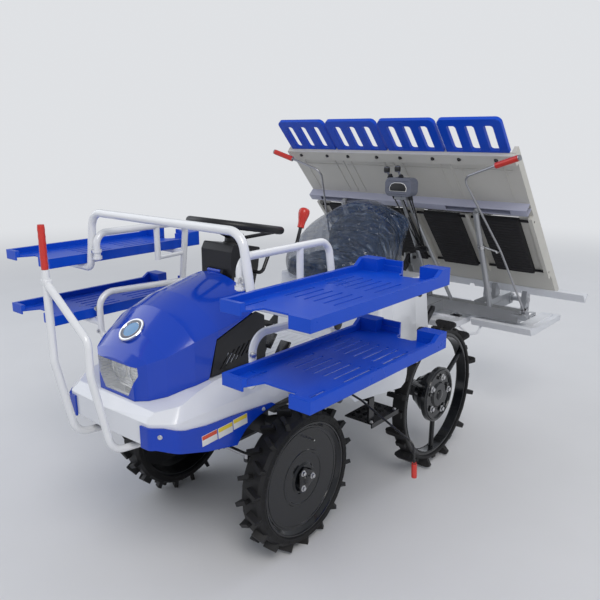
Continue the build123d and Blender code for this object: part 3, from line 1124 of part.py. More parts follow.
# Rotors: two on each shaft, each a rounded bar that carries two planting arms
ARM_OFFSET = ROW_PITCH / 2
ROTOR_T = 28.0
ROTOR_IN = 96.0
ROTOR_TURN = 90.0
turn_vec = (math.cos(math.radians(ROTOR_TURN)), math.sin(math.radians(ROTOR_TURN)))
arm_spots = [(ROTOR_Y + turn_vec[0] * ROTOR_R * s, ROTOR_Z + turn_vec[1] * ROTOR_R * s) for s in (1, -1)]
for side, name in ((1, "left"), (-1, "right")):
    centre_x = side * CASE_X
    rotor_bars = [side_bar(arm_spots[0], arm_spots[1], 26.0,
                           centre_x + s * (ROTOR_IN + ROTOR_T / 2) - ROTOR_T / 2,
                           centre_x + s * (ROTOR_IN + ROTOR_T / 2) + ROTOR_T / 2) for s in (1, -1)]
    shaft = cross_pin((ROTOR_Y, ROTOR_Z), centre_x - ROTOR_IN - 5.0, centre_x + ROTOR_IN + 5.0, SHAFT_R)
    arm_pins = [cross_pin(spot, centre_x + s * (ROTOR_IN + ROTOR_T - 2.0), centre_x + s * (ARM_OFFSET + 12.0),
                          9.0)
                for spot in arm_spots for s in (1, -1)]
    with BuildPart() as rotors:
        add(shaft)
        for piece in rotor_bars:
            add(piece)
        for piece in arm_pins:
            add(piece)
    keep(rotors, f"rotors_{name}")

# Planting arms: a body on the rotor's pin with a forked claw and its pusher
CLAW_REACH = 105.0
CLAW_DROP = 5.0
ARM_W = 30.0


def planting_arm(spot, row_x):
    """One arm at its pin, with the claw pointing forward to the gate."""
    y, z = spot
    body = side_prism([(y + 24.0, z + 20.0), (y + 26.0, z - 22.0), (y - 40.0, z - 20.0), (y - 62.0, z - 8.0),
                       (y - 62.0, z + 10.0), (y - 20.0, z + 24.0)], row_x - ARM_W / 2, row_x + ARM_W / 2, 5.0)
    hole = cross_pin(spot, row_x - 40.0, row_x + 40.0, 9.0 + RUN_GAP)
    prong = side_prism([(y - 55.0, z + 7.0), (y - 55.0, z), (y - CLAW_REACH, z - CLAW_DROP - 2.0),
                        (y - CLAW_REACH, z - CLAW_DROP)], row_x + 5.0, row_x + 8.0)
    with BuildPart() as arm:
        add(body)
        add(hole, mode=Mode.SUBTRACT)
        add(prong)
        with Locations((-13.0, 0, 0)):
            add(prong)
        with Locations((row_x, y - 68.0, z - 3.0)):
            Box(6.0, 24.0, 6.0)
    return arm.part


for side, name in ((1, "left"), (-1, "right")):
    for spot, letter in zip(arm_spots, ("a", "b")):
        arms = [planting_arm(spot, side * CASE_X + s * ARM_OFFSET) for s in (1, -1)]
        with BuildPart() as arm_pair:
            for piece in arms:
                add(piece)
        keep(arm_pair, f"planting_arms_{name}_{letter}")

# Seedling table: four lanes between walls, on the tilted plane
WALL_H = 34.0
BELT_Y = (TABLE_LEN - 580.0, TABLE_LEN - 180.0)
BELT_W = 190.0
TABLE_HALF = ROW_PITCH * ROWS / 2 + WALL_T
BELT_T = 30.0
AXLE_INSET = 16.0
AXLE_R = 6.0
AXLE_OUT = 2.0 - BELT_T / 2
axle_downs = (BELT_Y[0] + AXLE_INSET, BELT_Y[1] - AXLE_INSET)
axle_holes = [tube([on_table(-TABLE_HALF - 5.0, down, AXLE_OUT), on_table(TABLE_HALF + 5.0, down, AXLE_OUT)],
                   0, AXLE_R + RUN_GAP) for down in axle_downs]
with BuildPart(TABLE_PLANE) as seedling_table:
    block((-TABLE_HALF, TABLE_HALF), (0.0, TABLE_LEN), (-SHEET_T, 0.0))
    for k in range(ROWS + 1):
        wall_x = (k - ROWS / 2) * ROW_PITCH
        inner = WALL_T / 2 if 0 < k < ROWS else 0.0
        low = -WALL_T if k == 0 else -inner
        high = WALL_T if k == ROWS else inner
        block((wall_x + low, wall_x + high), (0.0, TABLE_LEN), (-SHEET_T, WALL_H))
        block((wall_x + low, wall_x + high), (BELT_Y[0] - 20.0, BELT_Y[1] + 20.0), (-BELT_T, 0.0))
    block((-TABLE_HALF, TABLE_HALF), (2.0, 58.0), (-24.0, 0.0))
    block((-TABLE_HALF, TABLE_HALF), (RAIL_DOWN, RAIL_DOWN + 36.0), (-50.0, 0.0))
    block((-TABLE_HALF - 1.0, TABLE_HALF + 1.0), (RAIL_DOWN + 5.0, RAIL_DOWN + 31.0), (-51.0, -SHEET_T),
          mode=Mode.SUBTRACT)
    for k in range(ROWS):
        row_x = (k - (ROWS - 1) / 2) * ROW_PITCH
        block((row_x - BELT_W / 2 - 3.0, row_x + BELT_W / 2 + 3.0), (BELT_Y[0] - 4.0, BELT_Y[1] + 4.0),
              (-30.0, 10.0), mode=Mode.SUBTRACT)
with BuildPart() as table_form:
    add(seedling_table.part)
    for hole in axle_holes:
        add(hole, mode=Mode.SUBTRACT)
keep(table_form, "seedling_table")

# Feed belts: one wide belt in each lane, on two axles that run through the table's ribs
belt_axles = [tube([on_table(-TABLE_HALF + 2.0, down, AXLE_OUT), on_table(TABLE_HALF - 2.0, down, AXLE_OUT)],
                   0, AXLE_R) for down in axle_downs]
with BuildPart() as feed_belts:
    for k in range(ROWS):
        row_x = (k - (ROWS - 1) / 2) * ROW_PITCH
        belt_plane = Plane(origin=on_table(row_x - BELT_W / 2, 0, 0), x_dir=tuple(table_up), z_dir=(1, 0, 0))
        with BuildSketch(belt_plane):
            with Locations((-(BELT_Y[0] + BELT_Y[1]) / 2, -AXLE_OUT)):
                SlotOverall(BELT_Y[1] - BELT_Y[0], BELT_T)
        extrude(amount=BELT_W)
    for piece in belt_axles:
        add(piece)
keep(feed_belts, "feed_belts")

# Extension racks: a blue frame with three long windows on top of each lane
RACK_LEN = 180.0
RACK_W = ROW_PITCH - 14.0
RACK_CORNER = 25.0
WINDOW_W = 42.0
WINDOW_PITCH = 83.0
WINDOW_TOP = 34.0 - RACK_LEN
WINDOW_LOW = -9.0
with BuildPart() as extension_racks:
    for k in range(ROWS):
        row_x = (k - (ROWS - 1) / 2) * ROW_PITCH
        with BuildSketch(TABLE_PLANE.offset(-6.0)) as face:
            with Locations((row_x, (-RACK_LEN - RUN_GAP) / 2)):
                Rectangle(RACK_W, RACK_LEN - RUN_GAP)
            fillet(face.vertices().group_by(Axis.Y)[0], RACK_CORNER)
            with Locations(*[(row_x + dx * WINDOW_PITCH, (WINDOW_TOP + WINDOW_LOW) / 2) for dx in (-1, 0, 1)]):
                RectangleRounded(WINDOW_W, WINDOW_LOW - WINDOW_TOP, 12.0, mode=Mode.SUBTRACT)
        extrude(amount=18.0)
keep(extension_racks, "extension_racks")

# Line markers: long thin arms folded up in front of the table, with red grips
MARKER_R = 5.0
for side, name in ((1, "left"), (-1, "right")):
    arm_plane = Plane(origin=(side * MARKER_X, MARKER_Y, MARKER_Z), x_dir=(1, 0, 0), z_dir=marker_axis)
    knots = [(0, -22.0), (-side * 60.0, -400.0), (-side * 165.0, -795.0), (-side * 5.0, -862.0),
             (side * 105.0, -905.0)]
    world = [tuple(arm_plane.from_local_coords(Vector(x, y, 0))) for x, y in knots]
    arm_rod = tube(world[:4], [300.0, 45.0], MARKER_R)
    grip = tube([world[3], world[4]], 0, 12.0)
    with BuildPart() as marker_arm:
        with BuildSketch(Plane(origin=Vector(side * MARKER_X, MARKER_Y, MARKER_Z) - marker_axis * 12.0,
                               x_dir=(1, 0, 0), z_dir=marker_axis)):
            Circle(18.0)
            with Locations((0, -18.0)):
                Rectangle(20.0, 30.0)
            Circle(8.0 + RUN_GAP, mode=Mode.SUBTRACT)
        extrude(amount=24.0)
        add(arm_rod)
        add(grip)
    keep(marker_arm, f"marker_arm_{name}")
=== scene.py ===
import math
from contextlib import contextmanager

import bmesh
import bpy
from bpy.props import FloatProperty, FloatVectorProperty, IntProperty, PointerProperty
from bpy.types import Operator, Panel, PropertyGroup
from mathutils import Matrix, Vector, noise
from mathutils.bvhtree import BVHTree


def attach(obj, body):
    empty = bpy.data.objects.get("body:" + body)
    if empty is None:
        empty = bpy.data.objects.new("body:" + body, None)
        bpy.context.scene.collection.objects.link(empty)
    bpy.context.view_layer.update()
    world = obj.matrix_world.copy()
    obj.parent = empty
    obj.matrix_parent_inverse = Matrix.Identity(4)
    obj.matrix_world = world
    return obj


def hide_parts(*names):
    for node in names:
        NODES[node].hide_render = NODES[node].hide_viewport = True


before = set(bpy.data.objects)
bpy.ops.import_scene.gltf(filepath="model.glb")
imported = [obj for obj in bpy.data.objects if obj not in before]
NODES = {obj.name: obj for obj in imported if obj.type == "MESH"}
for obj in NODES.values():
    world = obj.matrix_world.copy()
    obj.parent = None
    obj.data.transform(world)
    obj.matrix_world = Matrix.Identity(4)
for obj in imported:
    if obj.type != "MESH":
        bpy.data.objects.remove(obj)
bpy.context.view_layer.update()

bl_info = {
    "name": "Riding rice transplanter looks",
    "version": (1, 0, 0),
    "blender": (4, 5, 0),
    "location": "View3D > Sidebar > Transplanter",
    "description": "Adds the looks of a riding rice transplanter around its fixed frame",
    "category": "Object",
}

SHIFT = -20.0
SIDES = ((1, "left"), (-1, "right"))


# Settings

class TransplanterColours(PropertyGroup):
    hood_blue: FloatVectorProperty(name="Hood blue", description="Colour of the lacquered hood and strips",
                                   default=(0.002, 0.044, 0.44), size=3, subtype="COLOR", min=0.0, max=1.0)
    tray_blue: FloatVectorProperty(name="Tray blue", description="Colour of the moulded trays and racks",
                                   default=(0.002, 0.064, 0.54), size=3, subtype="COLOR", min=0.0, max=1.0)
    body_white: FloatVectorProperty(name="Body white", description="Colour of the cowl, deck and seat base",
                                    default=(0.72, 0.735, 0.775), size=3, subtype="COLOR", min=0.0, max=1.0)
    tube_white: FloatVectorProperty(name="Tube white", description="Colour of the coated tubes",
                                    default=(0.75, 0.76, 0.785), size=3, subtype="COLOR", min=0.0, max=1.0)
    marker_red: FloatVectorProperty(name="Marker red", description="Colour of the knob, grips and tips",
                                    default=(0.56, 0.022, 0.012), size=3, subtype="COLOR", min=0.0, max=1.0)


class TransplanterSizes(PropertyGroup):
    key_power: FloatProperty(name="Key light", description="Power of the large key light", default=170.0,
                             unit="POWER")
    fill_power: FloatProperty(name="Fill light", description="Power of the two soft lights", default=60.0,
                              unit="POWER")
    sky: FloatProperty(name="Sky light", description="Strength of the light from all round", default=0.52)
    floor_size: FloatProperty(name="Floor", description="Half width of the floor", default=30.0,
                              unit="LENGTH")
    pad_swell: FloatProperty(name="Pad swell", description="How far the seat's pads may swell", default=0.008,
                             unit="LENGTH")
    wrinkle: FloatProperty(name="Cover wrinkles", description="Depth of the folds in the seat's film cover",
                           default=0.011, unit="LENGTH")
    belt_teeth: IntProperty(name="Belt teeth", description="Cross bars on one face of a feed belt",
                            default=20, min=4, max=60)
    deck_ribs: IntProperty(name="Deck ribs", description="Raised ribs across the foot space", default=17,
                           min=3, max=40)


def sizes():
    return bpy.context.scene.transplanter_sizes


# Shader nodes

def feed(tree, target, sockets):
    """Links each output that is given for a socket, and sets any other value."""
    for key, value in sockets.items():
        if isinstance(value, bpy.types.NodeSocket):
            tree.links.new(value, target.inputs[key])
        else:
            target.inputs[key].default_value = value


def node(tree, kind, sockets=None, **settings):
    """Adds a shader node with its settings and sockets."""
    made = tree.nodes.new("ShaderNode" + kind)
    for key, value in settings.items():
        setattr(made, key, value)
    feed(tree, made, sockets or {})
    return made


def blend(tree, first, second, factor):
    mix = node(tree, "Mix", {"A": first, "B": second, "Factor": factor}, data_type="RGBA")
    return mix.outputs["Result"]


def spread(tree, value, to_min, to_max, low=0.0, high=1.0, **settings):
    """Maps a value from low to high onto another range."""
    sockets = {"Value": value, "From Min": low, "From Max": high, "To Min": to_min, "To Max": to_max}
    return node(tree, "MapRange", sockets, **settings).outputs["Result"]


def speckle(tree, where, scale, detail):
    return node(tree, "TexNoise", {"Vector": where, "Scale": scale, "Detail": detail}).outputs["Fac"]


def bumped(tree, height, strength, distance, normal=None):
    """The normal after a bump, on top of an earlier one where there is one."""
    sockets = {"Height": height, "Strength": strength, "Distance": distance}
    if normal:
        sockets["Normal"] = normal
    return node(tree, "Bump", sockets).outputs["Normal"]


def object_place(tree):
    """The Object coordinates of a material."""
    found = [n for n in tree.nodes if n.type == "TEX_COORD"]
    return (found[0] if found else node(tree, "TexCoord")).outputs["Object"]


def new_material(name):
    mat = bpy.data.materials.new(name)
    mat.use_nodes = True
    return mat, mat.node_tree, mat.node_tree.nodes["Principled BSDF"]


# Finishes

DUST = (0.30, 0.26, 0.21, 1.0)
DUST_HIGH = 0.12
LILAC = (0.36, 0.37, 0.47)
SOFT = 0.0022


def surface(name, colour, rough=0.4, metallic=0.0, coat=0.0, vary=0.06, rough_vary=0.08, scale=9.0, grain=0.0,
            grain_scale=220.0, shine=0.5, dust=0.0, dust_z=0.3, soft_edge=0.0, ribs=0.0, rib_scale=60.0):
    """A procedural finish: soft tones, uneven gloss, fine grain, dust near the ground and soft edges."""
    mat, tree, bsdf = new_material(name)
    where = object_place(tree)
    cloud = speckle(tree, where, scale, 5.0)
    dark = [c * (1.0 - vary) for c in colour[:3]]
    light = [min(1.0, c * (1.0 + vary) + vary * 0.02) for c in colour[:3]]
    tone = blend(tree, (*dark, 1.0), (*light, 1.0), cloud)
    if dust > 0.0:
        height = node(tree, "SeparateXYZ", {"Vector": where}).outputs["Z"]
        fade = spread(tree, height, DUST_HIGH * dust, dust, dust_z, 0.0)
        spots = speckle(tree, where, 26.0, 6.0)
        amount = node(tree, "Math", {0: fade, 1: spots}, operation="MULTIPLY").outputs["Value"]
        tone = blend(tree, tone, DUST, amount)
    gloss = spread(tree, cloud, max(0.02, rough - rough_vary), min(1.0, rough + rough_vary))
    feed(tree, bsdf, {"Base Color": tone, "Roughness": gloss, "Metallic": metallic,
                      "Specular IOR Level": shine, "Coat Weight": coat, "Coat Roughness": 0.08})
    normal = None
    if soft_edge > 0.0:
        normal = node(tree, "Bevel", {"Radius": soft_edge}, samples=4).outputs["Normal"]
    if ribs > 0.0:
        wave = node(tree, "TexWave", {"Vector": where, "Scale": rib_scale}, bands_direction="Z")
        normal = bumped(tree, wave.outputs["Fac"], ribs, 0.003, normal)
    if grain > 0.0:
        normal = bumped(tree, speckle(tree, where, grain_scale, 3.0), grain, 0.002, normal)
    if normal:
        feed(tree, bsdf, {"Normal": normal})
    return mat


MATERIALS = {
    "hood_lacquer": dict(colour="hood_blue", rough=0.16, coat=0.45, shine=0.3, vary=0.05, scale=5.0,
                         rough_vary=0.04),
    "strip_lacquer": dict(colour="hood_blue", rough=0.24, coat=0.2, shine=0.3, vary=0.05, scale=5.0,
                          soft_edge=SOFT),
    "tray_plastic": dict(colour="tray_blue", rough=0.30, shine=0.28, vary=0.10, grain=0.10, scale=7.0,
                         soft_edge=0.003),
    "cowl_lacquer": dict(colour="body_white", rough=0.20, coat=0.5, vary=0.03, scale=4.0, soft_edge=0.003),
    "tube_coating": dict(colour="tube_white", rough=0.20, coat=0.6, vary=0.03, scale=14.0),
    "deck_plastic": dict(colour="body_white", rough=0.42, vary=0.05, grain=0.08, scale=8.0, dust=0.12,
                         dust_z=0.6, soft_edge=0.003),
    "black_paint": dict(colour=(0.007, 0.007, 0.009), rough=0.26, coat=0.25, shine=0.4, vary=0.15, scale=10.0,
                        dust=0.06, soft_edge=SOFT),
    "black_plastic": dict(colour=(0.009, 0.009, 0.011), rough=0.40, shine=0.4, vary=0.15, grain=0.16,
                          scale=12.0, soft_edge=SOFT),
    "wheel_enamel": dict(colour=(0.004, 0.005, 0.007), rough=0.16, coat=0.35, shine=0.35, vary=0.2, scale=6.0,
                         dust=0.03, dust_z=0.2, soft_edge=SOFT),
    "tyre_rubber": dict(colour=(0.008, 0.008, 0.009), rough=0.55, shine=0.35, vary=0.2, grain=0.30, scale=14.0,
                        dust=0.10, dust_z=0.06, soft_edge=0.003),
    "belt_rubber": dict(colour=(0.012, 0.011, 0.013), rough=0.72, vary=0.2, grain=0.25, scale=14.0),
    "marker_plastic": dict(colour="marker_red", rough=0.32, coat=0.3, vary=0.08, grain=0.05, scale=20.0),
    "box_plastic": dict(colour=(0.125, 0.135, 0.175), rough=0.42, vary=0.08, grain=0.12, scale=14.0,
                        soft_edge=0.003),
    "steel": dict(colour=(0.42, 0.42, 0.44), rough=0.32, metallic=1.0, vary=0.10, scale=30.0),
    "zinc": dict(colour=(0.62, 0.62, 0.63), rough=0.28, metallic=1.0, vary=0.08, scale=60.0),
    "alloy": dict(colour=(0.46, 0.47, 0.49), rough=0.45, metallic=0.85, vary=0.08, grain=0.12, scale=20.0,
                  soft_edge=0.003),
    "cast_iron": dict(colour=(0.035, 0.036, 0.040), rough=0.52, metallic=0.3, vary=0.15, grain=0.3, scale=18.0,
                      dust=0.15, soft_edge=0.003),
    "chrome": dict(colour=(0.72, 0.72, 0.74), rough=0.12, metallic=1.0, vary=0.03, scale=30.0),
    "mirror": dict(colour=(0.90, 0.89, 0.86), rough=0.13, metallic=1.0, vary=0.04, scale=40.0),
    "vinyl": dict(colour=(0.030, 0.033, 0.040), rough=0.48, vary=0.12, grain=0.35, grain_scale=420.0),
    "label_white": dict(colour=(0.70, 0.70, 0.68), vary=0.04, scale=40.0),
    "label_yellow": dict(colour=(0.72, 0.55, 0.03), vary=0.05, scale=40.0),
    "label_red": dict(colour=(0.60, 0.07, 0.03), vary=0.05, scale=40.0),
    "badge_blue": dict(colour=(0.05, 0.22, 0.46), rough=0.22, coat=0.6, vary=0.10, scale=60.0),
    "grip_rubber": dict(colour=(0.010, 0.010, 0.011), rough=0.55, vary=0.15, grain=0.22, scale=30.0),
    "lilac_coating": dict(colour=LILAC, rough=0.35, coat=0.2, vary=0.05, scale=12.0),
}
FINISH = {
    "black_paint": "main_frame gear_lever side_markers lower_links upper_link lift_barrel",
    "cast_iron": "front_axle_case rear_axle_case engine knuckle_left knuckle_right",
    "cowl_lacquer": "lower_cowl seat_base",
    "strip_lacquer": "bumper_strips",
    "hood_lacquer": "hood",
    "lens": "headlamp",
    "black_plastic": "engine_cowl steering_column steering_wheel",
    "marker_plastic": "lever_knob centre_marker",
    "deck_plastic": "floor_deck gate_rail floats",
    "vinyl": "seat_cushion seat_back",
    "tube_coating": "guard_hoop rack_frames front_handles",
    "tray_plastic": "spare_trays extension_racks",
    "steel": "tie_rod marker_arm_left marker_arm_right",
    "wheel_enamel": "front_disc_left front_disc_right rear_rim_left rear_rim_right",
    "tyre_rubber": "front_tyre_left front_tyre_right rear_tread_left rear_tread_right",
    "chrome": "lift_rod",
    "alloy": "planter_frame planting_cases rotors_left rotors_right planting_arms_left_a planting_arms_left_b"
             " planting_arms_right_a planting_arms_right_b",
    "box_plastic": "control_box",
    "table_cream": "seedling_table",
    "belt_rubber": "feed_belts",
}

TABLE_TILT = math.radians(47.5)
TABLE_UP = Vector((0.0, -math.cos(TABLE_TILT), math.sin(TABLE_TILT)))
TABLE_OUT = Vector((0.0, math.sin(TABLE_TILT), math.cos(TABLE_TILT)))
TABLE_LEN = 980.0
TABLE_TOP = Vector((0.0, 1127.1, 667.5)) + TABLE_UP * TABLE_LEN
TABLE_LEAN = Matrix.Rotation(-TABLE_TILT, 4, "X")
LANE = 300.0
GUIDE_DOWN = 318.0


def mm(x, y, z):
    """A point of the drawing in millimetres as a point of the scene in metres."""
    return Vector((x, y + SHIFT, z)) * 0.001


def at(x, y, z):
    """The place of a shape that stands upright at a point of the drawing."""
    return Matrix.Translation(mm(x, y, z))


def on_table(x, down, out):
    """A point given by X, the distance down the table's slope and the height over its face."""
    spot = TABLE_TOP - TABLE_UP * down + TABLE_OUT * out
    return mm(x, spot.y, spot.z)


def flat(x, down, out):
    """The place of a shape that lies along the table's face."""
    return Matrix.Translation(on_table(x, down, out)) @ TABLE_LEAN


def table_finish():
    """Cream panel with a grey lilac guide bar in the band where the rollers run."""
    mat = surface("tx_table_cream", (0.56, 0.545, 0.50), rough=0.45, vary=0.09, grain=0.08, scale=5.0,
                  soft_edge=SOFT)
    tree = mat.node_tree
    colour = tree.nodes["Principled BSDF"].inputs["Base Color"]
    bands = []
    for axis, centre, half in ((TABLE_UP, on_table(0, GUIDE_DOWN, 0).dot(TABLE_UP), 0.021),
                               (TABLE_OUT, on_table(0, 0, -30.0).dot(TABLE_OUT), 0.0225)):
        reach = node(tree, "VectorMath", {0: object_place(tree), 1: axis}, operation="DOT_PRODUCT")
        near = {0: reach.outputs["Value"], 1: centre, 2: half}
        bands.append(node(tree, "Math", near, operation="COMPARE").outputs["Value"])
    both = node(tree, "Math", {0: bands[0], 1: bands[1]}, operation="MULTIPLY").outputs["Value"]
    tree.links.new(blend(tree, colour.links[0].from_socket, (*LILAC, 1.0), both), colour)
    return mat


def lens_finish():
    """Clear lens with fine ribs."""
    mat = surface("tx_lens", (0.86, 0.88, 0.88), rough=0.05, vary=0.01, rough_vary=0.02, scale=20.0, coat=0.6,
                  ribs=0.8, rib_scale=34.0)
    mat.node_tree.nodes["Principled BSDF"].inputs["Alpha"].default_value = 0.30
    return mat


def film_finish():
    """Thin cloudy film: half clear, crumpled and glossy, with painted highlights on its fold ridges and
    painted shade in the hollows between them.
    """
    mat, tree, bsdf = new_material("tx_film")
    stretch = node(tree, "Mapping", {"Vector": object_place(tree), "Scale": (1.0, 2.2, 0.7)}).outputs["Vector"]
    crease = node(tree, "TexNoise", noise_type="RIDGED_MULTIFRACTAL")
    feed(tree, crease, {"Vector": stretch, "Scale": 15.0, "Detail": 7.0})
    folds = crease.outputs["Fac"]
    warped = node(tree, "VectorMath", {0: crease.outputs["Color"], 1: (0.09, 0.09, 0.09), 2: stretch},
                  operation="MULTIPLY_ADD").outputs["Vector"]
    facets = node(tree, "TexVoronoi", {"Vector": warped, "Scale": 17.0}, feature="F1").outputs["Distance"]
    # Painted highlight and painted shade: the ramp paints the fold ridges pale and the hollows dark navy, as
    # light and shade would fall on crumpled film.
    painted_fold_light = node(tree, "ValToRGB", {"Fac": folds})
    for stop, place, colour in zip(painted_fold_light.color_ramp.elements, (0.15, 0.85),
                                   ((0.020, 0.048, 0.115, 1.0), (0.40, 0.49, 0.62, 1.0))):
        stop.position = place
        stop.color = colour
    normal = bumped(tree, folds, 0.8, 0.008, bumped(tree, facets, 1.0, 0.035))
    feed(tree, bsdf, {"Base Color": painted_fold_light.outputs["Color"], "Alpha": spread(tree, folds, 0.50, 0.92),
                      "Roughness": 0.10, "Coat Weight": 1.0, "Normal": normal})
    return mat


BACKDROP = (0.74, 0.755, 0.78, 1.0)
FLOOR_NEAR = 3.2
FLOOR_FAR = 9.0


def floor_finish():
    """A pale floor that passes into the backdrop's colour away from the machine."""
    mat = surface("tx_floor", (0.70, 0.70, 0.715), rough=0.85, vary=0.03, scale=3.0)
    tree = mat.node_tree
    away = node(tree, "VectorMath", {0: object_place(tree)}, operation="LENGTH").outputs["Value"]
    fade = spread(tree, away, 0.0, 1.0, FLOOR_NEAR, FLOOR_FAR, interpolation_type="SMOOTHSTEP")
    glow = node(tree, "Emission", {"Color": BACKDROP}).outputs["Emission"]
    mix = node(tree, "MixShader", {0: fade, 1: tree.nodes["Principled BSDF"].outputs["BSDF"], 2: glow})
    tree.links.new(mix.outputs["Shader"], tree.nodes["Material Output"].inputs["Surface"])
    return mat


SPECIAL = {"table_cream": table_finish, "lens": lens_finish, "film": film_finish, "floor": floor_finish}


def material(key):
    """The finish of that name, made once."""
    made = bpy.data.materials.get("tx_" + key)
    if made:
        return made
    if key in SPECIAL:
        return SPECIAL[key]()
    values = dict(MATERIALS[key])
    if isinstance(values["colour"], str):
        values["colour"] = tuple(getattr(bpy.context.scene.transplanter_colours, values["colour"]))
    return surface("tx_" + key, **values)


# Shapes, each in a bmesh of its own

def block(x, y, z, bevel=1.5, segments=2):
    """A box of that size in millimetres about its middle, with rounded edges."""
    bm = bmesh.new()
    bmesh.ops.create_cube(bm, size=0.001, matrix=Matrix.Diagonal((x, y, z, 1.0)))
    bmesh.ops.bevel(bm, geom=bm.edges[:], offset=min(bevel, 0.45 * min(x, y, z)) * 0.001, segments=segments,
                    profile=0.5, affect="EDGES", material=-1, clamp_overlap=True)
    return bm


def turned(profile, steps=32, closed=False):
    """A shape turned about Z from points of radius and height in millimetres."""
    bm = bmesh.new()
    verts = [bm.verts.new((r * 0.001, 0.0, h * 0.001)) for r, h in profile]
    pairs = list(zip(verts, verts[1:])) + ([(verts[-1], verts[0])] if closed else [])
    edges = [bm.edges.new(pair) for pair in pairs]
    bmesh.ops.spin(bm, geom=verts + edges, cent=(0, 0, 0), axis=(0, 0, 1), dvec=(0, 0, 0), angle=math.tau,
                   steps=steps, use_merge=True, use_duplicate=False)
    bmesh.ops.remove_doubles(bm, verts=bm.verts[:], dist=1e-6)
    bmesh.ops.recalc_face_normals(bm, faces=bm.faces[:])
    return bm


def rod(radius, low, high, steps=10):
    """A round rod about Z between two heights."""
    return turned(((0.0, low), (radius, low), (radius, high), (0.0, high)), steps)


def raised(bm, thick):
    """Raises a flat face into a slab."""
    grown = bmesh.ops.extrude_face_region(bm, geom=bm.faces[:], use_keep_orig=True)
    top = [v for v in grown["geom"] if isinstance(v, bmesh.types.BMVert)]
    bmesh.ops.translate(bm, verts=top, vec=(0.0, 0.0, thick))
    bmesh.ops.recalc_face_normals(bm, faces=bm.faces[:])


def plate(outline, thick, bevel=0.8):
    """A flat plate from an outline of X and Y in millimetres, standing on Z = 0."""
    bm = bmesh.new()
    bm.faces.new([bm.verts.new((x * 0.001, y * 0.001, 0.0)) for x, y in outline])
    raised(bm, thick * 0.001)
    bmesh.ops.bevel(bm, geom=bm.edges[:], offset=bevel * 0.001, segments=2, profile=0.5, affect="EDGES",
                    material=-1, clamp_overlap=True)
    return bm


def bolt_head(radius=6.5, washer=True):
    """A hexagon head on its washer."""
    bm = bmesh.new()
    bmesh.ops.create_circle(bm, cap_ends=True, segments=6, radius=radius * 0.001)
    raised(bm, radius * 0.0009)
    rim = [e for e in bm.edges if all(v.co.z > 1e-5 for v in e.verts)]
    bmesh.ops.bevel(bm, geom=rim, offset=radius * 0.00014, segments=2, profile=0.5, affect="EDGES",
                    material=-1)
    if washer:
        outer = radius * 1.45
        disc = turned([(0.0, 0.0), (outer, 0.0), (outer, 1.0), (radius * 1.3, 1.5), (0.0, 1.5)], 18)
        bmesh.ops.translate(bm, verts=bm.verts[:], vec=(0.0, 0.0, 0.0013))
        merge(bm, disc)
    return bm


def coil(length, radius, wire, turns):
    """A tension spring along X from the origin, in millimetres."""
    bm = bmesh.new()
    place = Matrix.Translation((0, radius * 0.001, 0)) @ Matrix.Rotation(math.pi / 2, 4, "Y")
    ring = bmesh.ops.create_circle(bm, cap_ends=False, segments=6, radius=wire * 0.001, matrix=place)["verts"]
    steps = turns * 10
    rim = list({e for v in ring for e in v.link_edges})
    bmesh.ops.spin(bm, geom=ring + rim, cent=(0, 0, 0), axis=(1, 0, 0), dvec=(length * 0.001 / steps, 0, 0),
                   angle=math.tau * turns, steps=steps, use_merge=False, use_duplicate=False)
    bmesh.ops.holes_fill(bm, edges=[e for e in bm.edges if e.is_boundary], sides=8)
    bmesh.ops.recalc_face_normals(bm, faces=bm.faces[:])
    return bm


def ribbed(ends, bore, ridge, low, length, count, steps):
    """A sleeve with fine ridges between its two ends, which are lists of radius and height."""
    ridges = [(bore + (ridge if k % 2 else 0.0), low + length * k / count) for k in range(count + 1)]
    return turned(ends[0] + ridges + ends[1], steps)


def merge(target, part, place=None):
    """Moves a shape to its place and joins it to another bmesh."""
    if place is not None:
        bmesh.ops.transform(part, matrix=place, verts=part.verts[:])
    scratch = bpy.data.meshes.new("scratch")
    part.to_mesh(scratch)
    part.free()
    target.from_mesh(scratch)
    bpy.data.meshes.remove(scratch)


def turn(degrees, axis="Z"):
    return Matrix.Rotation(math.radians(degrees), 4, axis)


def off(x, y, z):
    """A step in metres along a shape's own axes."""
    return Matrix.Translation((x, y, z))


def stand(point, normal=(0.0, 0.0, 1.0)):
    """The place of a shape that stands on a point and looks along a normal."""
    return Matrix.Translation(point) @ Vector(normal).to_track_quat("Z", "Y").to_matrix().to_4x4()


def sideways(x, y, z, side):
    """The place of a shape whose own +Z looks to one side of the machine."""
    return at(x, y, z) @ Matrix.Rotation(side * math.pi / 2, 4, "Y")


def finished(name, bm, key, body, angle=38.0):
    """Makes the piece's mesh, gives it its finish and lets it ride on its body."""
    mesh = bpy.data.meshes.new(name)
    bm.to_mesh(mesh)
    bm.free()
    mesh.shade_smooth()
    mesh.set_sharp_from_angle(angle=math.radians(angle))
    mesh.materials.append(material(key))
    obj = bpy.data.objects.new(name, mesh)
    bpy.context.scene.collection.objects.link(obj)
    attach(obj, body)
    return obj


@contextmanager
def piece(name, key, body, angle=38.0):
    """Opens a piece: its shapes are put in one mesh, which then gets its finish and rides on its body."""
    bm = bmesh.new()

    def put(part, place=None):
        merge(bm, part, place)

    yield put
    finished(name, bm, key, body, angle)


TREES = {}


def touch(name, start, aim):
    """Where a line from a start point through an aim point meets a fixed part, and the normal there."""
    if name not in TREES:
        mesh = NODES[name].data
        TREES[name] = BVHTree.FromPolygons([v.co.copy() for v in mesh.vertices],
                                           [tuple(p.vertices) for p in mesh.polygons])
    way = (aim - start).normalized()
    point, normal, _, _ = TREES[name].ray_cast(start, way)
    if point is None:
        raise RuntimeError("nothing of " + name + " lies on that line")
    return point, -normal if normal.dot(way) > 0.0 else normal


def against(name, start, aim):
    """The place of a shape that stands where a line between two points of the drawing meets a fixed part."""
    return stand(*touch(name, mm(*start), mm(*aim)))


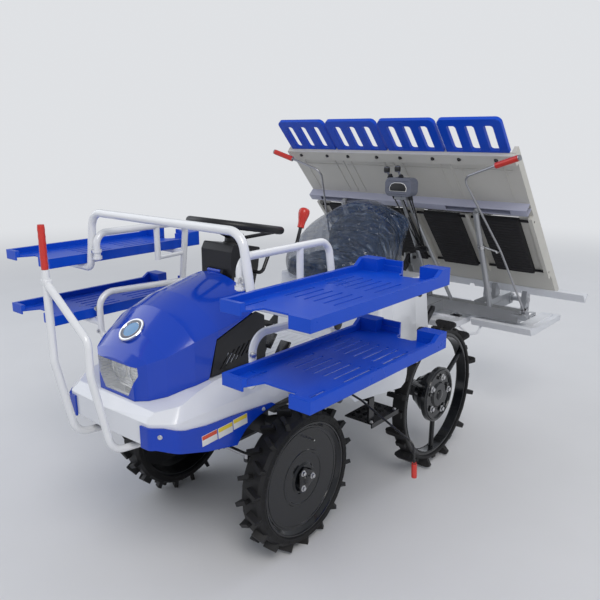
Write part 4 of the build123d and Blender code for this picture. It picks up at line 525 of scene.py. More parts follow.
CAMERA_POS = Vector((1.7248, -2.2230, 1.4655))
CAMERA_TURN = math.radians(40.394)
CAMERA_DOWN = math.radians(14.312)
CAMERA_LENS = 39.23
SENSOR = 36.0
PHOTO = 600.0


def seen_at(name, px, py):
    """The point of a fixed part that the camera sees at a place of the photograph, and its normal."""
    reach = PHOTO * CAMERA_LENS / SENSOR
    way = Vector(((px - PHOTO / 2) / reach, (PHOTO / 2 - py) / reach, -1.0))
    way.rotate(Matrix.Rotation(CAMERA_TURN, 3, "Z") @ Matrix.Rotation(math.pi / 2 - CAMERA_DOWN, 3, "X"))
    return touch(name, CAMERA_POS, CAMERA_POS + way)


def mirrored(vector, side):
    return Vector((vector.x * side, vector.y, vector.z))


# Stage and fixed parts

class STAGE_OT_transplanter(Operator):
    """Adds the floor, the lights and the camera"""
    bl_idname = "stage.transplanter_stage"
    bl_label = "Stage"

    def execute(self, context):
        self.floor(context.scene)
        self.sky(context.scene)
        self.lights(context.scene)
        data = bpy.data.cameras.new("camera")
        data.sensor_width = SENSOR
        data.lens = CAMERA_LENS
        camera = bpy.data.objects.new("camera", data)
        camera.location = CAMERA_POS
        camera.rotation_euler = (math.pi / 2 - CAMERA_DOWN, 0.0, CAMERA_TURN)
        context.scene.collection.objects.link(camera)
        context.scene.camera = camera
        context.scene.view_settings.view_transform = "Standard"
        return {"FINISHED"}

    def floor(self, scene):
        bm = bmesh.new()
        bmesh.ops.create_grid(bm, x_segments=1, y_segments=1, size=sizes().floor_size)
        mesh = bpy.data.meshes.new("floor")
        bm.to_mesh(mesh)
        bm.free()
        mesh.materials.append(material("floor"))
        floor = bpy.data.objects.new("floor", mesh)
        scene.collection.objects.link(floor)

    def sky(self, scene):
        world = bpy.data.worlds.new("sky")
        world.use_nodes = True
        tree = world.node_tree
        soft = tree.nodes["Background"]
        feed(tree, soft, {"Color": (0.88, 0.93, 1.0, 1.0), "Strength": sizes().sky})
        pale = node(tree, "Background", {"Color": BACKDROP, "Strength": 1.0})
        seen = node(tree, "LightPath").outputs["Is Camera Ray"]
        mix = node(tree, "MixShader", {0: seen, 1: soft.outputs["Background"], 2: pale.outputs["Background"]})
        tree.links.new(mix.outputs["Shader"], tree.nodes["World Output"].inputs["Surface"])
        scene.world = world

    def lights(self, scene):
        values = sizes()
        for name, place, size, power, colour in (
                ("key", (3.4, -3.0, 5.0), 3.0, values.key_power, (1.0, 0.97, 0.93)),
                ("fill", (-4.2, -2.0, 3.2), 4.0, values.fill_power, (0.92, 0.95, 1.0)),
                ("back", (0.5, 4.5, 4.0), 4.0, values.fill_power, (1.0, 1.0, 1.0))):
            light = bpy.data.lights.new(name, "AREA")
            light.energy = power
            light.size = size
            light.color = colour
            lamp = bpy.data.objects.new(name, light)
            lamp.location = place
            aim = Vector((0.0, 0.0, 0.5)) - Vector(place)
            lamp.rotation_euler = aim.to_track_quat("-Z", "Y").to_euler()
            scene.collection.objects.link(lamp)


class OBJECT_OT_transplanter_finish(Operator):
    """Gives the fixed parts their procedural finishes"""
    bl_idname = "object.transplanter_finish"
    bl_label = "Finishes"

    def execute(self, context):
        for key, names in FINISH.items():
            for name in names.split():
                obj = NODES[name]
                if not obj.material_slots:
                    obj.data.materials.append(material(key))
                for holder in obj.material_slots:
                    holder.material = material(key)
        return {"FINISHED"}


# Seat

FILM_ROWS = ((847.0, -74.0, 312.0, 222.0), (872.0, -77.0, 318.0, 227.0), (900.0, -78.0, 324.0, 228.0),
             (926.0, -76.0, 328.0, 228.0), (950.0, -66.0, 331.0, 227.0), (972.0, -34.0, 334.0, 225.0),
             (996.0, 8.0, 337.0, 222.0), (1020.0, 50.0, 340.0, 218.0), (1044.0, 88.0, 342.0, 212.0),
             (1068.0, 124.0, 344.0, 198.0), (1092.0, 158.0, 345.0, 174.0), (1114.0, 188.0, 345.0, 144.0),
             (1133.0, 212.0, 343.0, 112.0), (1148.0, 232.0, 338.0, 78.0), (1158.0, 252.0, 330.0, 44.0),
             (1162.0, 270.0, 316.0, 18.0))
FILM_AROUND = 112
FILM_SQUARE = 0.62
PAD_HALF = 197.0
SEAM_X = 110.0
CLOTH_STEPS = 20


def swollen(obj, cap, voxel=0.006):
    """Swells a closed pad with cloth pressure, keeps each point within the cap and leaves a plain mesh."""
    def settle():
        seen = obj.evaluated_get(bpy.context.evaluated_depsgraph_get())
        obj.data = bpy.data.meshes.new_from_object(seen)
        obj.modifiers.clear()

    shrink = obj.modifiers.new("voxels", "REMESH")
    shrink.mode = "VOXEL"
    shrink.voxel_size = voxel
    settle()
    start = [v.co.copy() for v in obj.data.vertices]
    cloth = obj.modifiers.new("cloth", "CLOTH")
    cloth.settings.use_pressure = True
    cloth.settings.uniform_pressure_force = 4.0
    cloth.settings.effector_weights.gravity = 0.0
    cloth.settings.quality = 4
    cloth.point_cache.frame_end = CLOTH_STEPS
    scene = bpy.context.scene
    for step in range(1, CLOTH_STEPS + 1):
        scene.frame_set(step)
    settle()
    scene.frame_set(1)
    for vert, rest in zip(obj.data.vertices, start):
        move = vert.co - rest
        if move.length > cap:
            vert.co = rest + move.normalized() * cap


def padded_block(low, high, crown, place=None, arch=0.0):
    """A soft block between two corners in millimetres, crowned on its top face, before it swells."""
    bm = bmesh.new()
    size = Vector(high) - Vector(low)
    bmesh.ops.create_cube(bm, size=0.001, matrix=Matrix.Diagonal((*size, 1.0)))
    bmesh.ops.bevel(bm, geom=bm.edges[:], offset=0.020, segments=4, profile=0.5, affect="EDGES", material=-1)
    long_edges = [e for e in bm.edges if e.calc_length() > 0.04]
    bmesh.ops.subdivide_edges(bm, edges=long_edges, cuts=7, use_grid_fill=True)
    half = size * 0.0005
    for vert in bm.verts:
        u = vert.co.x / half.x
        v = vert.co.y / half.y
        if vert.co.z > 0.0:
            vert.co.z += crown * 0.001 * (1.0 - u * u) * (1.0 - v * v)
            vert.co.z -= arch * 0.001 * u * u
    middle = Vector(low) + size / 2
    bmesh.ops.transform(bm, matrix=place or at(*middle), verts=bm.verts[:])
    bmesh.ops.recalc_face_normals(bm, faces=bm.faces[:])
    return bm


def groove(obj, lines, depth=0.004, width=0.005):
    """Presses sewn channels into a pad: each line is an axis, a place along it and the side that it is on."""
    for vert in obj.data.vertices:
        for axis, place, side in lines:
            if vert.normal.dot(side) > 0.35:
                gap = abs(vert.co[axis] - place) / width
                if gap < 3.0:
                    vert.co -= vert.normal * depth * math.exp(-gap * gap)


class MESH_OT_seat(Operator):
    """Makes the seat's two pads and the film cover that is drawn over them"""
    bl_idname = "mesh.transplanter_seat"
    bl_label = "Seat"

    def execute(self, context):
        cap = sizes().pad_swell
        pad_bm = padded_block((-PAD_HALF, -52, 852), (PAD_HALF, 214, 926), 7.0)
        pad = finished("seat_pad", pad_bm, "vinyl", "chassis")
        swollen(pad, cap)
        place = at(0, 272.0, 988.0) @ Matrix.Rotation(-math.atan2(44.0, 276.0), 4, "X")
        back_bm = padded_block((-PAD_HALF, -26, -130), (PAD_HALF, 20, 150), 4.0, place, arch=96.0)
        back = finished("seat_backrest", back_bm, "vinyl", "chassis")
        swollen(back, cap)
        up = Vector((0, 0, 1))
        front = Vector((0, -1, 0))
        seams = (-SEAM_X * 0.001, SEAM_X * 0.001)
        groove(pad, [(0, x, up) for x in seams] + [(1, mm(0, y, 0).y, up) for y in (20, 100)])
        groove(back, [(0, x, front) for x in seams] + [(2, 1.02, front)])
        for soft, name in ((pad, "seat_cushion"), (back, "seat_back")):
            soft.data.shade_smooth()
            soft.data.materials.clear()
            soft.data.materials.append(material("vinyl"))
            finer = soft.modifiers.new("finer", "SUBSURF")
            finer.levels = finer.render_levels = 1
            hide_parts(name)
        self.cover()
        return {"FINISHED"}

    def cover(self):
        """A thin film drawn down over the pads, with folds and a gathered tail at its rear left shoulder."""
        bm = bmesh.new()
        loop = None
        for z, front, rear, half in FILM_ROWS:
            ring = bmesh.ops.create_circle(bm, cap_ends=False, segments=FILM_AROUND, radius=1.0)["verts"]
            for vert in ring:
                x = math.copysign(abs(vert.co.x) ** FILM_SQUARE, vert.co.x)
                y = math.copysign(abs(vert.co.y) ** FILM_SQUARE, vert.co.y)
                vert.co = mm(x * half, (front + rear) / 2 + y * (rear - front) / 2, z)
            edges = list({e for v in ring for e in v.link_edges})
            if loop:
                bmesh.ops.bridge_loops(bm, edges=loop + edges)
            loop = edges
        bmesh.ops.holes_fill(bm, edges=loop, sides=0)
        tip = [v for v in bm.verts if v.co.z > mm(0, 0, 1161.0).z]
        bmesh.ops.smooth_vert(bm, verts=tip, factor=0.5, use_axis_x=False, use_axis_y=False, use_axis_z=True)
        bmesh.ops.recalc_face_normals(bm, faces=bm.faces[:])
        bm.normal_update()
        depth = sizes().wrinkle
        tail = mm(196.0, 352.0, 1092.0)
        tail_end = mm(262.0, 372.0, 1106.0)
        moves = []
        for vert in bm.verts:
            p = vert.co
            fold = noise.noise(Vector((p.x * 9.0 + p.z * 5.0, p.y * 9.0 - p.z * 4.0, p.z * 6.0)))
            fine = noise.noise(Vector((p.x * 31.0, p.y * 31.0, p.z * 22.0 + p.x * 12.0)))
            lift = depth * (0.45 + abs(fold) * 1.5 + 0.45 * abs(fine))
            pull = max(0.0, 1.0 - (p - tail).length / 0.10)
            moves.append((vert, vert.normal * lift + (tail_end - p) * 0.9 * pull ** 1.6))
        for vert, move in moves:
            vert.co += move
        film = finished("seat_film", bm, "film", "chassis", angle=180.0)
        finer = film.modifiers.new("finer", "SUBSURF")
        finer.levels = finer.render_levels = 1


# Hood

LAMP = ((-106, 762), (106, 762), (108, 735), (62, 660), (-62, 660), (-108, 735))
LAMP_Z = 711.0
LAMP_RIBS = 9
BOWL = ((0.0, -20.0), (12.0, -19.0), (26.0, -12.0), (36.0, -1.0), (38.0, 3.2), (34.0, 3.2), (33.0, 1.0))
BULB = ((0.0, 2.0), (5.0, 1.0), (7.0, -5.0), (6.0, -16.0), (9.0, -19.0))


class MESH_OT_hood(Operator):
    """Makes the headlamp's reflectors and ribs and the blank badge"""
    bl_idname = "mesh.transplanter_hood"
    bl_label = "Hood"

    def execute(self, context):
        facing = turn(90.0, "X")
        with piece("lamp_reflectors", "mirror", "hood") as put:
            put(plate([(x * 0.985, z - LAMP_Z) for x, z in reversed(LAMP)], 3.0, 0.5),
                at(0, -1036.0, LAMP_Z) @ facing)
            for x in (-46.0, 46.0):
                for profile, steps in ((BOWL, 36), (BULB, 20)):
                    put(turned(profile, steps), at(x, -1040.0, 716.0) @ facing)
            for k in range(LAMP_RIBS):
                put(block(196.0 - 9.0 * max(0, 4 - k), 1.6, 2.2, 0.5), at(0, -1039.6, 668.0 + k * 11.0))
        point, normal = touch("hood", mm(0, -1300.0, 1130.0), mm(0, -1015.0, 850.0))
        place = stand(point - normal * 0.0045, normal)
        with piece("badge_rings", "chrome", "hood") as put:
            rim = ((37.0, 0.0), (46.0, 0.0), (46.5, 7.0), (44.0, 9.5), (39.5, 9.5), (37.5, 7.5))
            put(turned(rim, 56, True), place)
            put(turned(((28.0, 6.0), (31.0, 6.0), (31.0, 8.6), (29.8, 9.4), (28.4, 8.6)), 48, True), place)
        with piece("badge_field", "badge_blue", "hood") as put:
            put(turned(((0.0, 8.6), (18.0, 8.4), (28.2, 7.6), (28.2, 2.0), (0.0, 2.0)), 48), place)
        with piece("badge_band", "box_plastic", "hood") as put:
            put(turned(((31.0, 2.0), (37.4, 2.0), (37.4, 7.2), (31.0, 7.2)), 48, True), place)
        return {"FINISHED"}


# Strips and labels

LABELS = ((-946.0, 533.0, "label_red"), (-878.0, 535.0, "label_yellow"), (-811.0, 542.0, "label_yellow"))
LABEL_W = 64.0
LABEL_H = 36.0
STRIP_BOLT = 5.2


class MESH_OT_strips(Operator):
    """Makes the blank labels and the bolts of the blue strips"""
    bl_idname = "mesh.transplanter_strips"
    bl_label = "Strips"

    def execute(self, context):
        with piece("strip_label_yellow", "label_yellow", "chassis") as yellow, \
                piece("strip_label_red", "label_red", "chassis") as red, \
                piece("strip_cards", "label_white", "chassis") as card:
            heads = {"label_red": red, "label_yellow": yellow}
            for side, _ in SIDES:
                for y, z, key in LABELS:
                    point, out = touch("bumper_strips", mm(side * 600.0, y, z), mm(0, y, z))
                    along = Vector((0.0, side * 1.0, side * 0.05))
                    along = (along - out * along.dot(out)).normalized()
                    place = Matrix((along, out.cross(along), out)).transposed().to_4x4()
                    place.translation = point
                    card(block(LABEL_W, LABEL_H, 1.4, 0.5), place)
                    heads[key](block(LABEL_W - 2.0, 14.0, 1.9, 0.5),
                               place @ off(0, 0.010, 0))
        with piece("strip_bolts", "zinc", "chassis") as put:
            for side, _ in SIDES:
                point, out = seen_at("bumper_strips", 160.0, 437.5)
                put(bolt_head(STRIP_BOLT), stand(mirrored(point, side), mirrored(out, side)))
                put(bolt_head(STRIP_BOLT),
                    against("bumper_strips", (side * 600.0, -700.0, 549.0), (0, -700.0, 549.0)))
        return {"FINISHED"}


# Wheels

FRONT_HUB = (335.0, -585.0, 268.0)
REAR_HUB = (400.0, 280.0, 332.0)


def hub_place(hub, side):
    """A wheel's own axes: its outer side is +Z."""
    return sideways(side * hub[0], hub[1], hub[2], side)


class MESH_OT_front_wheels(Operator):
    """Makes the side ribs, hub plate and bolts of the front wheels"""
    bl_idname = "mesh.transplanter_front_wheels"
    bl_label = "Front wheels"

    def execute(self, context):
        for side, name in SIDES:
            self.wheel(hub_place(FRONT_HUB, side), name)
        return {"FINISHED"}

    def wheel(self, hub, name):
        body = "front_wheel_" + name
        with piece("front_tyre_ribs_" + name, "tyre_rubber", body) as put:
            for radius, width, height in ((219.0, 3.0, 1.6), (226.0, 1.5, 1.0), (231.5, 1.5, 1.0)):
                for place in (hub, hub @ turn(180.0, "X")):
                    put(turned(((radius - width, 44.0), (radius - width * 0.6, 46.0 + height),
                                (radius + width * 0.6, 46.0 + height), (radius + width, 44.0)), 72), place)
            for k in range(36):
                put(block(13.0, 3.2, 3.0, 0.9, 1),
                    hub @ turn(10.0 * k + 5.0) @ off(0.225, 0, 0.0462))
        with piece("front_disc_rings_" + name, "wheel_enamel", body) as put:
            put(turned(((176.0, 28.0), (178.0, 31.5), (186.0, 31.5), (188.0, 28.0)), 72), hub)
            put(turned(((92.0, 27.0), (96.0, 31.0), (104.0, 31.0), (108.0, 27.0)), 64), hub)
            put(turned(((203.0, 40.0), (205.0, 44.5), (211.0, 44.5), (213.5, 40.0)), 72), hub)
        with piece("front_hub_plate_" + name, "black_paint", body) as put:
            corners = [math.radians(90 + 120 * k + d) for k in range(3) for d in (-16, 16)]
            put(plate([(math.cos(a) * 50.0, math.sin(a) * 50.0) for a in corners], 3.0, 1.0),
                hub @ off(0, 0, 0.0405))
            put(turned(((0.0, 50.0), (12.0, 49.0), (17.0, 44.0), (18.0, 40.0), (0.0, 40.0)), 28), hub)
        with piece("front_hub_bolts_" + name, "zinc", body) as put:
            for k in range(3):
                put(bolt_head(8.0), hub @ turn(90.0 + 120.0 * k) @ off(0.034, 0, 0.0434))
            put(turned(((0.0, 64.0), (3.0, 63.0), (3.6, 50.0), (4.2, 28.0), (0.0, 28.0)), 12),
                hub @ off(-0.150, 0.020, 0))


class MESH_OT_rear_wheels(Operator):
    """Makes the hub bolts, ring beads and lug ribs of the rear wheels"""
    bl_idname = "mesh.transplanter_rear_wheels"
    bl_label = "Rear wheels"

    def execute(self, context):
        for side, name in SIDES:
            self.wheel(hub_place(REAR_HUB, side), name)
        return {"FINISHED"}

    def wheel(self, hub, name):
        body = "rear_wheel_" + name
        with piece("rear_hub_bolts_" + name, "zinc", body) as put:
            for k in range(5):
                put(bolt_head(10.0), hub @ turn(20.0 + 72.0 * k) @ off(0.080, 0, 0.0308))
        with piece("rear_rim_beads_" + name, "wheel_enamel", body) as put:
            put(turned(((0.0, 41.0), (14.0, 40.0), (22.0, 36.0), (24.0, 31.0), (0.0, 31.0)), 32), hub)
            put(turned(((106.0, 29.0), (108.0, 32.5), (114.0, 32.5), (116.0, 28.0)), 64), hub)
            for lift in (-22.0, 22.0):
                bead = ((264.5, lift - 2.5), (262.0, lift), (264.5, lift + 2.5), (268.0, lift))
                put(turned(bead, 72, True), hub)
        with piece("rear_tread_ribs_" + name, "tyre_rubber", body) as put:
            for k in range(12):
                lug = hub @ turn(15.0 + 30.0 * k)
                for flank in (-1, 1):
                    put(block(22.0, 5.0, 8.0, 1.8, 2), lug @ off(0.311, flank * 0.0092, 0))
                    for lift in (-0.026, 0.026):
                        put(block(18.0, 4.0, 7.0, 1.6, 2),
                            lug @ off(0.313, flank * 0.0088, lift))
            for lift in (-27.5, 27.5):
                put(turned(((284.0, lift - 2.0), (283.0, lift), (290.0, lift + math.copysign(1.6, lift)),
                            (295.0, lift), (295.0, lift - 2.0)), 72, True), hub)


# Driver's place

STEER_TILT = math.radians(10.5)
STEER_LEAN = Matrix.Rotation(-STEER_TILT, 4, "X")
STEER_R = 165.6
GRIP_R = 14.2
LEVER_TOP = (150.0, -350.0, 1122.0)
PEDALS = ((18.0, -392.0, 668.0, 62.0), (104.0, -402.0, 652.0, 54.0))


class MESH_OT_steering(Operator):
    """Makes the steering wheel with its flat spokes, the hub cap, the boot, the dash panel and the pedals"""
    bl_idname = "mesh.transplanter_steering"
    bl_label = "Steering"

    def execute(self, context):
        self.wheel(at(0, -540.0, 1140.0) @ STEER_LEAN)
        self.dash()
        self.pedals()
        self.lever()
        return {"FINISHED"}

    def wheel(self, place):
        with piece("steering_ring", "black_plastic", "steering_wheel") as put:
            grip = [(STEER_R + GRIP_R * math.cos(math.tau * k / 16), GRIP_R * math.sin(math.tau * k / 16))
                    for k in range(16)]
            put(turned(grip, 96, True), place)
            for k in range(36):
                put(block(9.0, 13.0, 5.0, 2.0, 2),
                    place @ turn(10.0 * k) @ off(0.1645, 0, -0.0122))
            tilt = Matrix.Rotation(-math.atan2(43.0, 142.0), 4, "Y")
            for degrees in (30.0, 150.0, 270.0):
                spoke = place @ turn(degrees)
                put(block(150.0, 30.0, 9.0, 3.4, 3), spoke @ off(0.094, 0, -0.0245) @ tilt)
                put(block(118.0, 12.0, 13.0, 3.0, 3), spoke @ off(0.088, 0, -0.0262) @ tilt)
            put(turned(((0.0, -25.5), (26.0, -26.0), (33.0, -29.0), (34.0, -34.0), (34.0, -62.0),
                        (30.0, -64.8), (0.0, -64.8)), 40), place)
        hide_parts("steering_wheel")
        with piece("steering_cap", "box_plastic", "steering_wheel") as put:
            put(turned(((0.0, -22.0), (14.0, -22.4), (19.0, -24.0), (20.0, -27.0), (0.0, -27.0)), 32), place)

    def dash(self):
        with piece("dash_controls", "grip_rubber", "chassis") as put:
            put(turned(((24.0, -4.0), (40.0, -4.0), (38.0, 3.0), (31.0, 5.0), (33.0, 9.0), (26.0, 11.0),
                        (25.0, 14.0), (22.6, 12.0)), 36, True), at(0, -552.0, 1074.0) @ STEER_LEAN)
            for x in (-42.0, 42.0):
                put(block(34.0, 22.0, 6.0, 2.0, 3),
                    against("steering_column", (x, -300.0, 960.0), (x, -560.0, 960.0)))
            put(turned(((0.0, 12.0), (9.0, 12.0), (12.0, 9.0), (14.0, 3.0), (17.0, 0.0), (0.0, 0.0)), 28),
                against("steering_column", (0, -300.0, 1010.0), (0, -560.0, 1010.0)))
        with piece("dash_dials", "zinc", "chassis") as put:
            for x in (-48.0, 48.0):
                put(turned(((0.0, 2.0), (15.0, 2.0), (16.0, 5.0), (19.0, 5.0), (20.0, 0.0), (0.0, 0.0)), 30),
                    against("steering_column", (x, -300.0, 1030.0), (x, -560.0, 1030.0)))

    def pedals(self):
        with piece("pedals", "black_paint", "chassis") as put:
            for x, y, z, wide in PEDALS:
                place = at(x, y, z) @ turn(-38.0, "X")
                put(block(wide, 7.0, 66.0, 3.0, 3), place)
                for k in range(5):
                    put(block(wide - 10.0, 3.0, 4.0, 1.2, 2),
                        place @ Matrix.Translation((0, 0.0045, (k - 2) * 0.012)))
                foot = mm(x, y - 60.0, 572.0)
                way = mm(x, y - 6.0, z - 8.0) - foot
                put(block(14.0, 9.0, way.length * 1000.0 + 8.0, 2.0, 2), stand(foot + way / 2, way))
                put(block(46.0, 54.0, 6.0, 2.0, 2), at(x, y - 66.0, 571.2))

    def lever(self):
        axis = Vector((0.0, 22.0, 58.0)).normalized()
        with piece("lever_grip", "marker_plastic", "chassis", 60.0) as put:
            put(turned(((0.0, 77.6), (8.0, 77.2), (14.0, 75.0), (19.4, 69.5), (21.0, 61.0), (20.6, 52.0),
                        (17.4, 38.0), (14.0, 25.0), (12.6, 12.0), (13.0, 2.0), (9.0, 0.0), (7.2, 0.0)), 32),
                stand(mm(*LEVER_TOP) + axis * 0.0003, axis))
        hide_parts("lever_knob")
        with piece("lever_boot", "grip_rubber", "chassis") as put:
            folds = [(22.0 - 2.3 * k + (3.4 if k % 2 else 0.0), 3.0 + 4.6 * k) for k in range(6)]
            put(turned([(25.0, 0.0)] + folds + [(7.0, 30.0)], 28), stand(mm(78.0, -560.0, 985.0), (1, 0, 0)))


# Deck, seat base and steps

DECK_FACE = 568.0
STEP_FACE = 383.0
RIB_SPAN = 560.0
DECK_BOLTS = ((326.0, -538.0), (330.0, 20.0), (330.0, 380.0), (420.0, -416.0), (420.0, -44.0),
              (326.0, -300.0))


class MESH_OT_deck(Operator):
    """Makes the deck's ribs and bolts, the seat base's panels and the grip rings of the steps"""
    bl_idname = "mesh.transplanter_deck"
    bl_label = "Deck"

    def execute(self, context):
        self.ribs()
        self.steps()
        self.seat_base()
        return {"FINISHED"}

    def ribs(self):
        count = sizes().deck_ribs
        with piece("deck_ribs", "deck_plastic", "chassis") as put:
            for k in range(count):
                x = (k - (count - 1) / 2) * RIB_SPAN / (count - 1)
                low, high = (-470.0 if abs(x) < 160.0 else -500.0), -30.0
                put(block(7.0, high - low, 3.4, 1.4, 2), at(x, (low + high) / 2, DECK_FACE + 0.8))
            for side, _ in SIDES:
                for k in range(6):
                    put(block(74.0, 6.0, 3.2, 1.3, 2), at(side * 388.0, -395.0 + 66.0 * k, DECK_FACE + 0.8))

    def steps(self):
        with piece("deck_bolts", "zinc", "chassis") as put:
            for side, _ in SIDES:
                for x, y in DECK_BOLTS:
                    put(bolt_head(5.6), at(side * x, y, DECK_FACE))
                for y in (-250.0, -84.0):
                    put(bolt_head(5.6), at(side * 424.0, y, STEP_FACE))
        with piece("step_rings", "black_paint", "chassis") as put:
            for side, _ in SIDES:
                for i in range(3):
                    for j in range(5):
                        put(turned(((9.0, 0.0), (8.6, 2.6), (7.2, 3.4), (5.8, 2.2), (5.6, 0.0)), 16, True),
                            at(side * (330.0 + 32.0 * i), -235.0 + 34.0 * j, STEP_FACE))

    def seat_base(self):
        with piece("seat_base_panels", "cowl_lacquer", "chassis") as put:
            for side, _ in SIDES:
                put(block(180.0, 300.0, 4.0, 1.8, 3),
                    against("seat_base", (side * 600.0, 190.0, 700.0), (0, 190.0, 700.0))
                    @ turn(90.0 * side + 90.0))
            put(block(380.0, 170.0, 4.0, 1.8, 3),
                against("seat_base", (0, -400.0, 710.0), (0, 200.0, 710.0)))
        with piece("seat_base_catches", "black_plastic", "chassis") as put:
            put(block(64.0, 20.0, 9.0, 3.5, 3), against("seat_base", (0, -400.0, 800.0), (0, 200.0, 800.0)))
            for x in (-150.0, 150.0):
                put(block(46.0, 34.0, 7.0, 2.0, 2),
                    against("seat_base", (x, 800.0, 800.0), (x, 200.0, 800.0)))


# Tubes and racks

PLUGS = ((-885.0, 979.7, 14.0), (-872.0, 767.7, 13.0), (-465.0, 771.2, 9.5), (-465.0, 984.2, 9.5))
SADDLES = ((-885.0, 993.7), (-465.0, 993.7), (-872.0, 780.7), (-465.0, 780.7))
HANDLE_X = -100.0
HANDLE_Y = -1236.5


class MESH_OT_racks(Operator):
    """Makes the clamps, plugs and bolts of the hoop, the racks and the front handles, and the red sleeves"""
    bl_idname = "mesh.transplanter_racks"
    bl_label = "Racks"

    def execute(self, context):
        with piece("tube_bolts", "zinc", "chassis") as bolt, \
                piece("tube_clamps", "tube_coating", "chassis") as clamp, \
                piece("tube_plugs", "black_plastic", "chassis") as plug:
            for side, _ in SIDES:
                self.rack(side, plug, clamp, bolt)
            clamp(block(30.0, 24.0, 22.0, 4.0, 3), at(HANDLE_X + 1.0, HANDLE_Y, 1030.0))
        with piece("side_marker_tips", "marker_plastic", "chassis") as put:
            for side, _ in SIDES:
                low = mm(side * 708.0, -402.0, 317.6)
                way = mm(side * 706.1, -402.0, 372.5) - low
                put(self.sleeve(9.4, way.length * 1000.0), stand(low, way))
        with piece("centre_marker_sleeve", "marker_plastic", "chassis") as put:
            put(self.sleeve(10.4, 134.0), stand(mm(HANDLE_X, HANDLE_Y, 1070.5)))
        return {"FINISHED"}

    def rack(self, side, plug, clamp, bolt):
        for y, z, r in PLUGS:
            plug(turned(((0.0, 3.6), (r * 0.7, 3.4), (r + 0.6, 1.8), (r + 0.8, -3.0), (r * 0.6, -3.0)), 24),
                 stand(mm(side * 735.0, y, z), (side, 0, 0)))
        for z in (1048.0, 1024.0):
            clamp(turned(((14.6, -5.0), (17.2, -5.0), (17.2, 5.0), (14.6, 5.0)), 28, True),
                  stand(mm(side * 372.0, -885.0, z)))
        bolt(bolt_head(), stand(mm(side * 382.0, -894.0, 1048.0), (0, -1, 0)))
        for size, x, y, z in ((7.5, 700.0, -1100.0, 822.0), (6.5, 404.0, -1200.0, 735.0)):
            bolt(bolt_head(size), against("rack_frames", (side * x, y, z), (side * 404.0, -872.0, z)))
        for z in (600.0, 640.0):
            bolt(bolt_head(), stand(mm(side * 417.0, -465.0, z), (side, 0, 0)))
        for x in (500.0, 700.0):
            for y, z in SADDLES:
                clamp(block(36.0, 34.0, 3.0, 1.0, 2), at(side * x, y, z + 1.6))
        clamp(block(52.0, 7.0, 66.0, 2.5, 3), at(side * 100.0, -1013.5, 500.0))
        for z in (478.0, 522.0):
            bolt(bolt_head(), stand(mm(side * 118.0, -1017.0, z), (0, -1, 0)))

    def sleeve(self, r, length):
        ends = ([(0.0, 0.0), (r, 0.4)], [(r - 1.4, length - 0.6), (0.0, length)])
        return ribbed(ends, r, 0.7, 3.0, length - 7.0, 12, 24)


# Planting unit

class MESH_OT_table(Operator):
    """Makes the table's bolts, seams, springs, lane ribs, keeper rods and the belts' teeth"""
    bl_idname = "mesh.transplanter_table"
    bl_label = "Seedling table"

    def execute(self, context):
        lanes = [(k - 1.5) * LANE for k in range(4)]
        with piece("table_bolts", "black_paint", "table") as put:
            for x in lanes:
                for dx in (-85.0, 85.0):
                    put(bolt_head(), stand(on_table(x + dx, 26.0, -24.0), -TABLE_OUT))
        self.ribs(lanes)
        self.guide_bar()
        self.springs()
        self.belts(lanes)
        return {"FINISHED"}

    def ribs(self, lanes):
        with piece("table_ribs", "table_cream", "table") as put:
            for k in range(1, 4):
                put(block(5.0, 224.0, 3.4, 1.2, 2), flat((k - 2) * LANE, 176.0, -7.0))
            for x in lanes:
                put(block(270.0, 5.0, 3.0, 1.2, 2), flat(x, 100.0, -7.0))
                for dx in (-100.0, 100.0):
                    put(block(4.0, 220.0, 3.0, 1.0, 2), flat(x + dx, 178.0, -7.0))
            for x in lanes:
                for dx in (-108.0, -54.0, 0.0, 54.0, 108.0):
                    put(block(6.0, 360.0, 5.0, 2.0, 2), flat(x + dx, 204.0, 2.0))
                for dx in (-116.0, 116.0):
                    put(block(8.0, 500.0, 6.0, 2.4, 2), flat(x + dx, 660.0, 2.4))

    def guide_bar(self):
        """The bar's faces end short of the windows that the rollers run in."""
        with piece("guide_bar_faces", "lilac_coating", "table") as put:
            for low, high in ((-220.0, 220.0), (541.0, 617.0), (-617.0, -541.0)):
                put(block(high - low, 35.0, 3.0, 1.2, 2), flat((low + high) / 2, GUIDE_DOWN, -51.2))
            for down in (GUIDE_DOWN - 16.0, GUIDE_DOWN + 16.0):
                put(block(1234.0, 5.0, 3.0, 1.2, 2), flat(0, down, -51.2))

    def springs(self):
        with piece("table_springs", "black_paint", "table") as put:
            for side, start in ((-1, -426.0), (1, 94.0)):
                put(coil(332.0, 8.0, 2.0, 46), flat(start, 362.0, -26.0))
                for x in (88.0, 432.0):
                    put(block(12.0, 14.0, 26.0, 2.0, 2), flat(side * x, 362.0, -18.0))

    def belts(self, lanes):
        count = sizes().belt_teeth
        with piece("belt_teeth", "belt_rubber", "table") as put:
            for x in lanes:
                for k in range(count):
                    for out in (2.6, -28.6):
                        put(block(184.0, 6.5, 4.0, 1.4, 1), flat(x, 414.0 + 372.0 * k / (count - 1), out))
        with piece("keeper_rods", "zinc", "table") as put:
            for down in (560.0, 760.0, 900.0):
                put(rod(3.4, -606.0, 606.0), Matrix.Translation(on_table(0, down, 29.0)) @ turn(90.0, "Y"))
            for x in lanes:
                for dx in (-80.0, 0.0, 80.0):
                    put(rod(2.6, -176.0, 176.0, 8), flat(x + dx, 732.0, 24.4) @ turn(90.0, "X"))


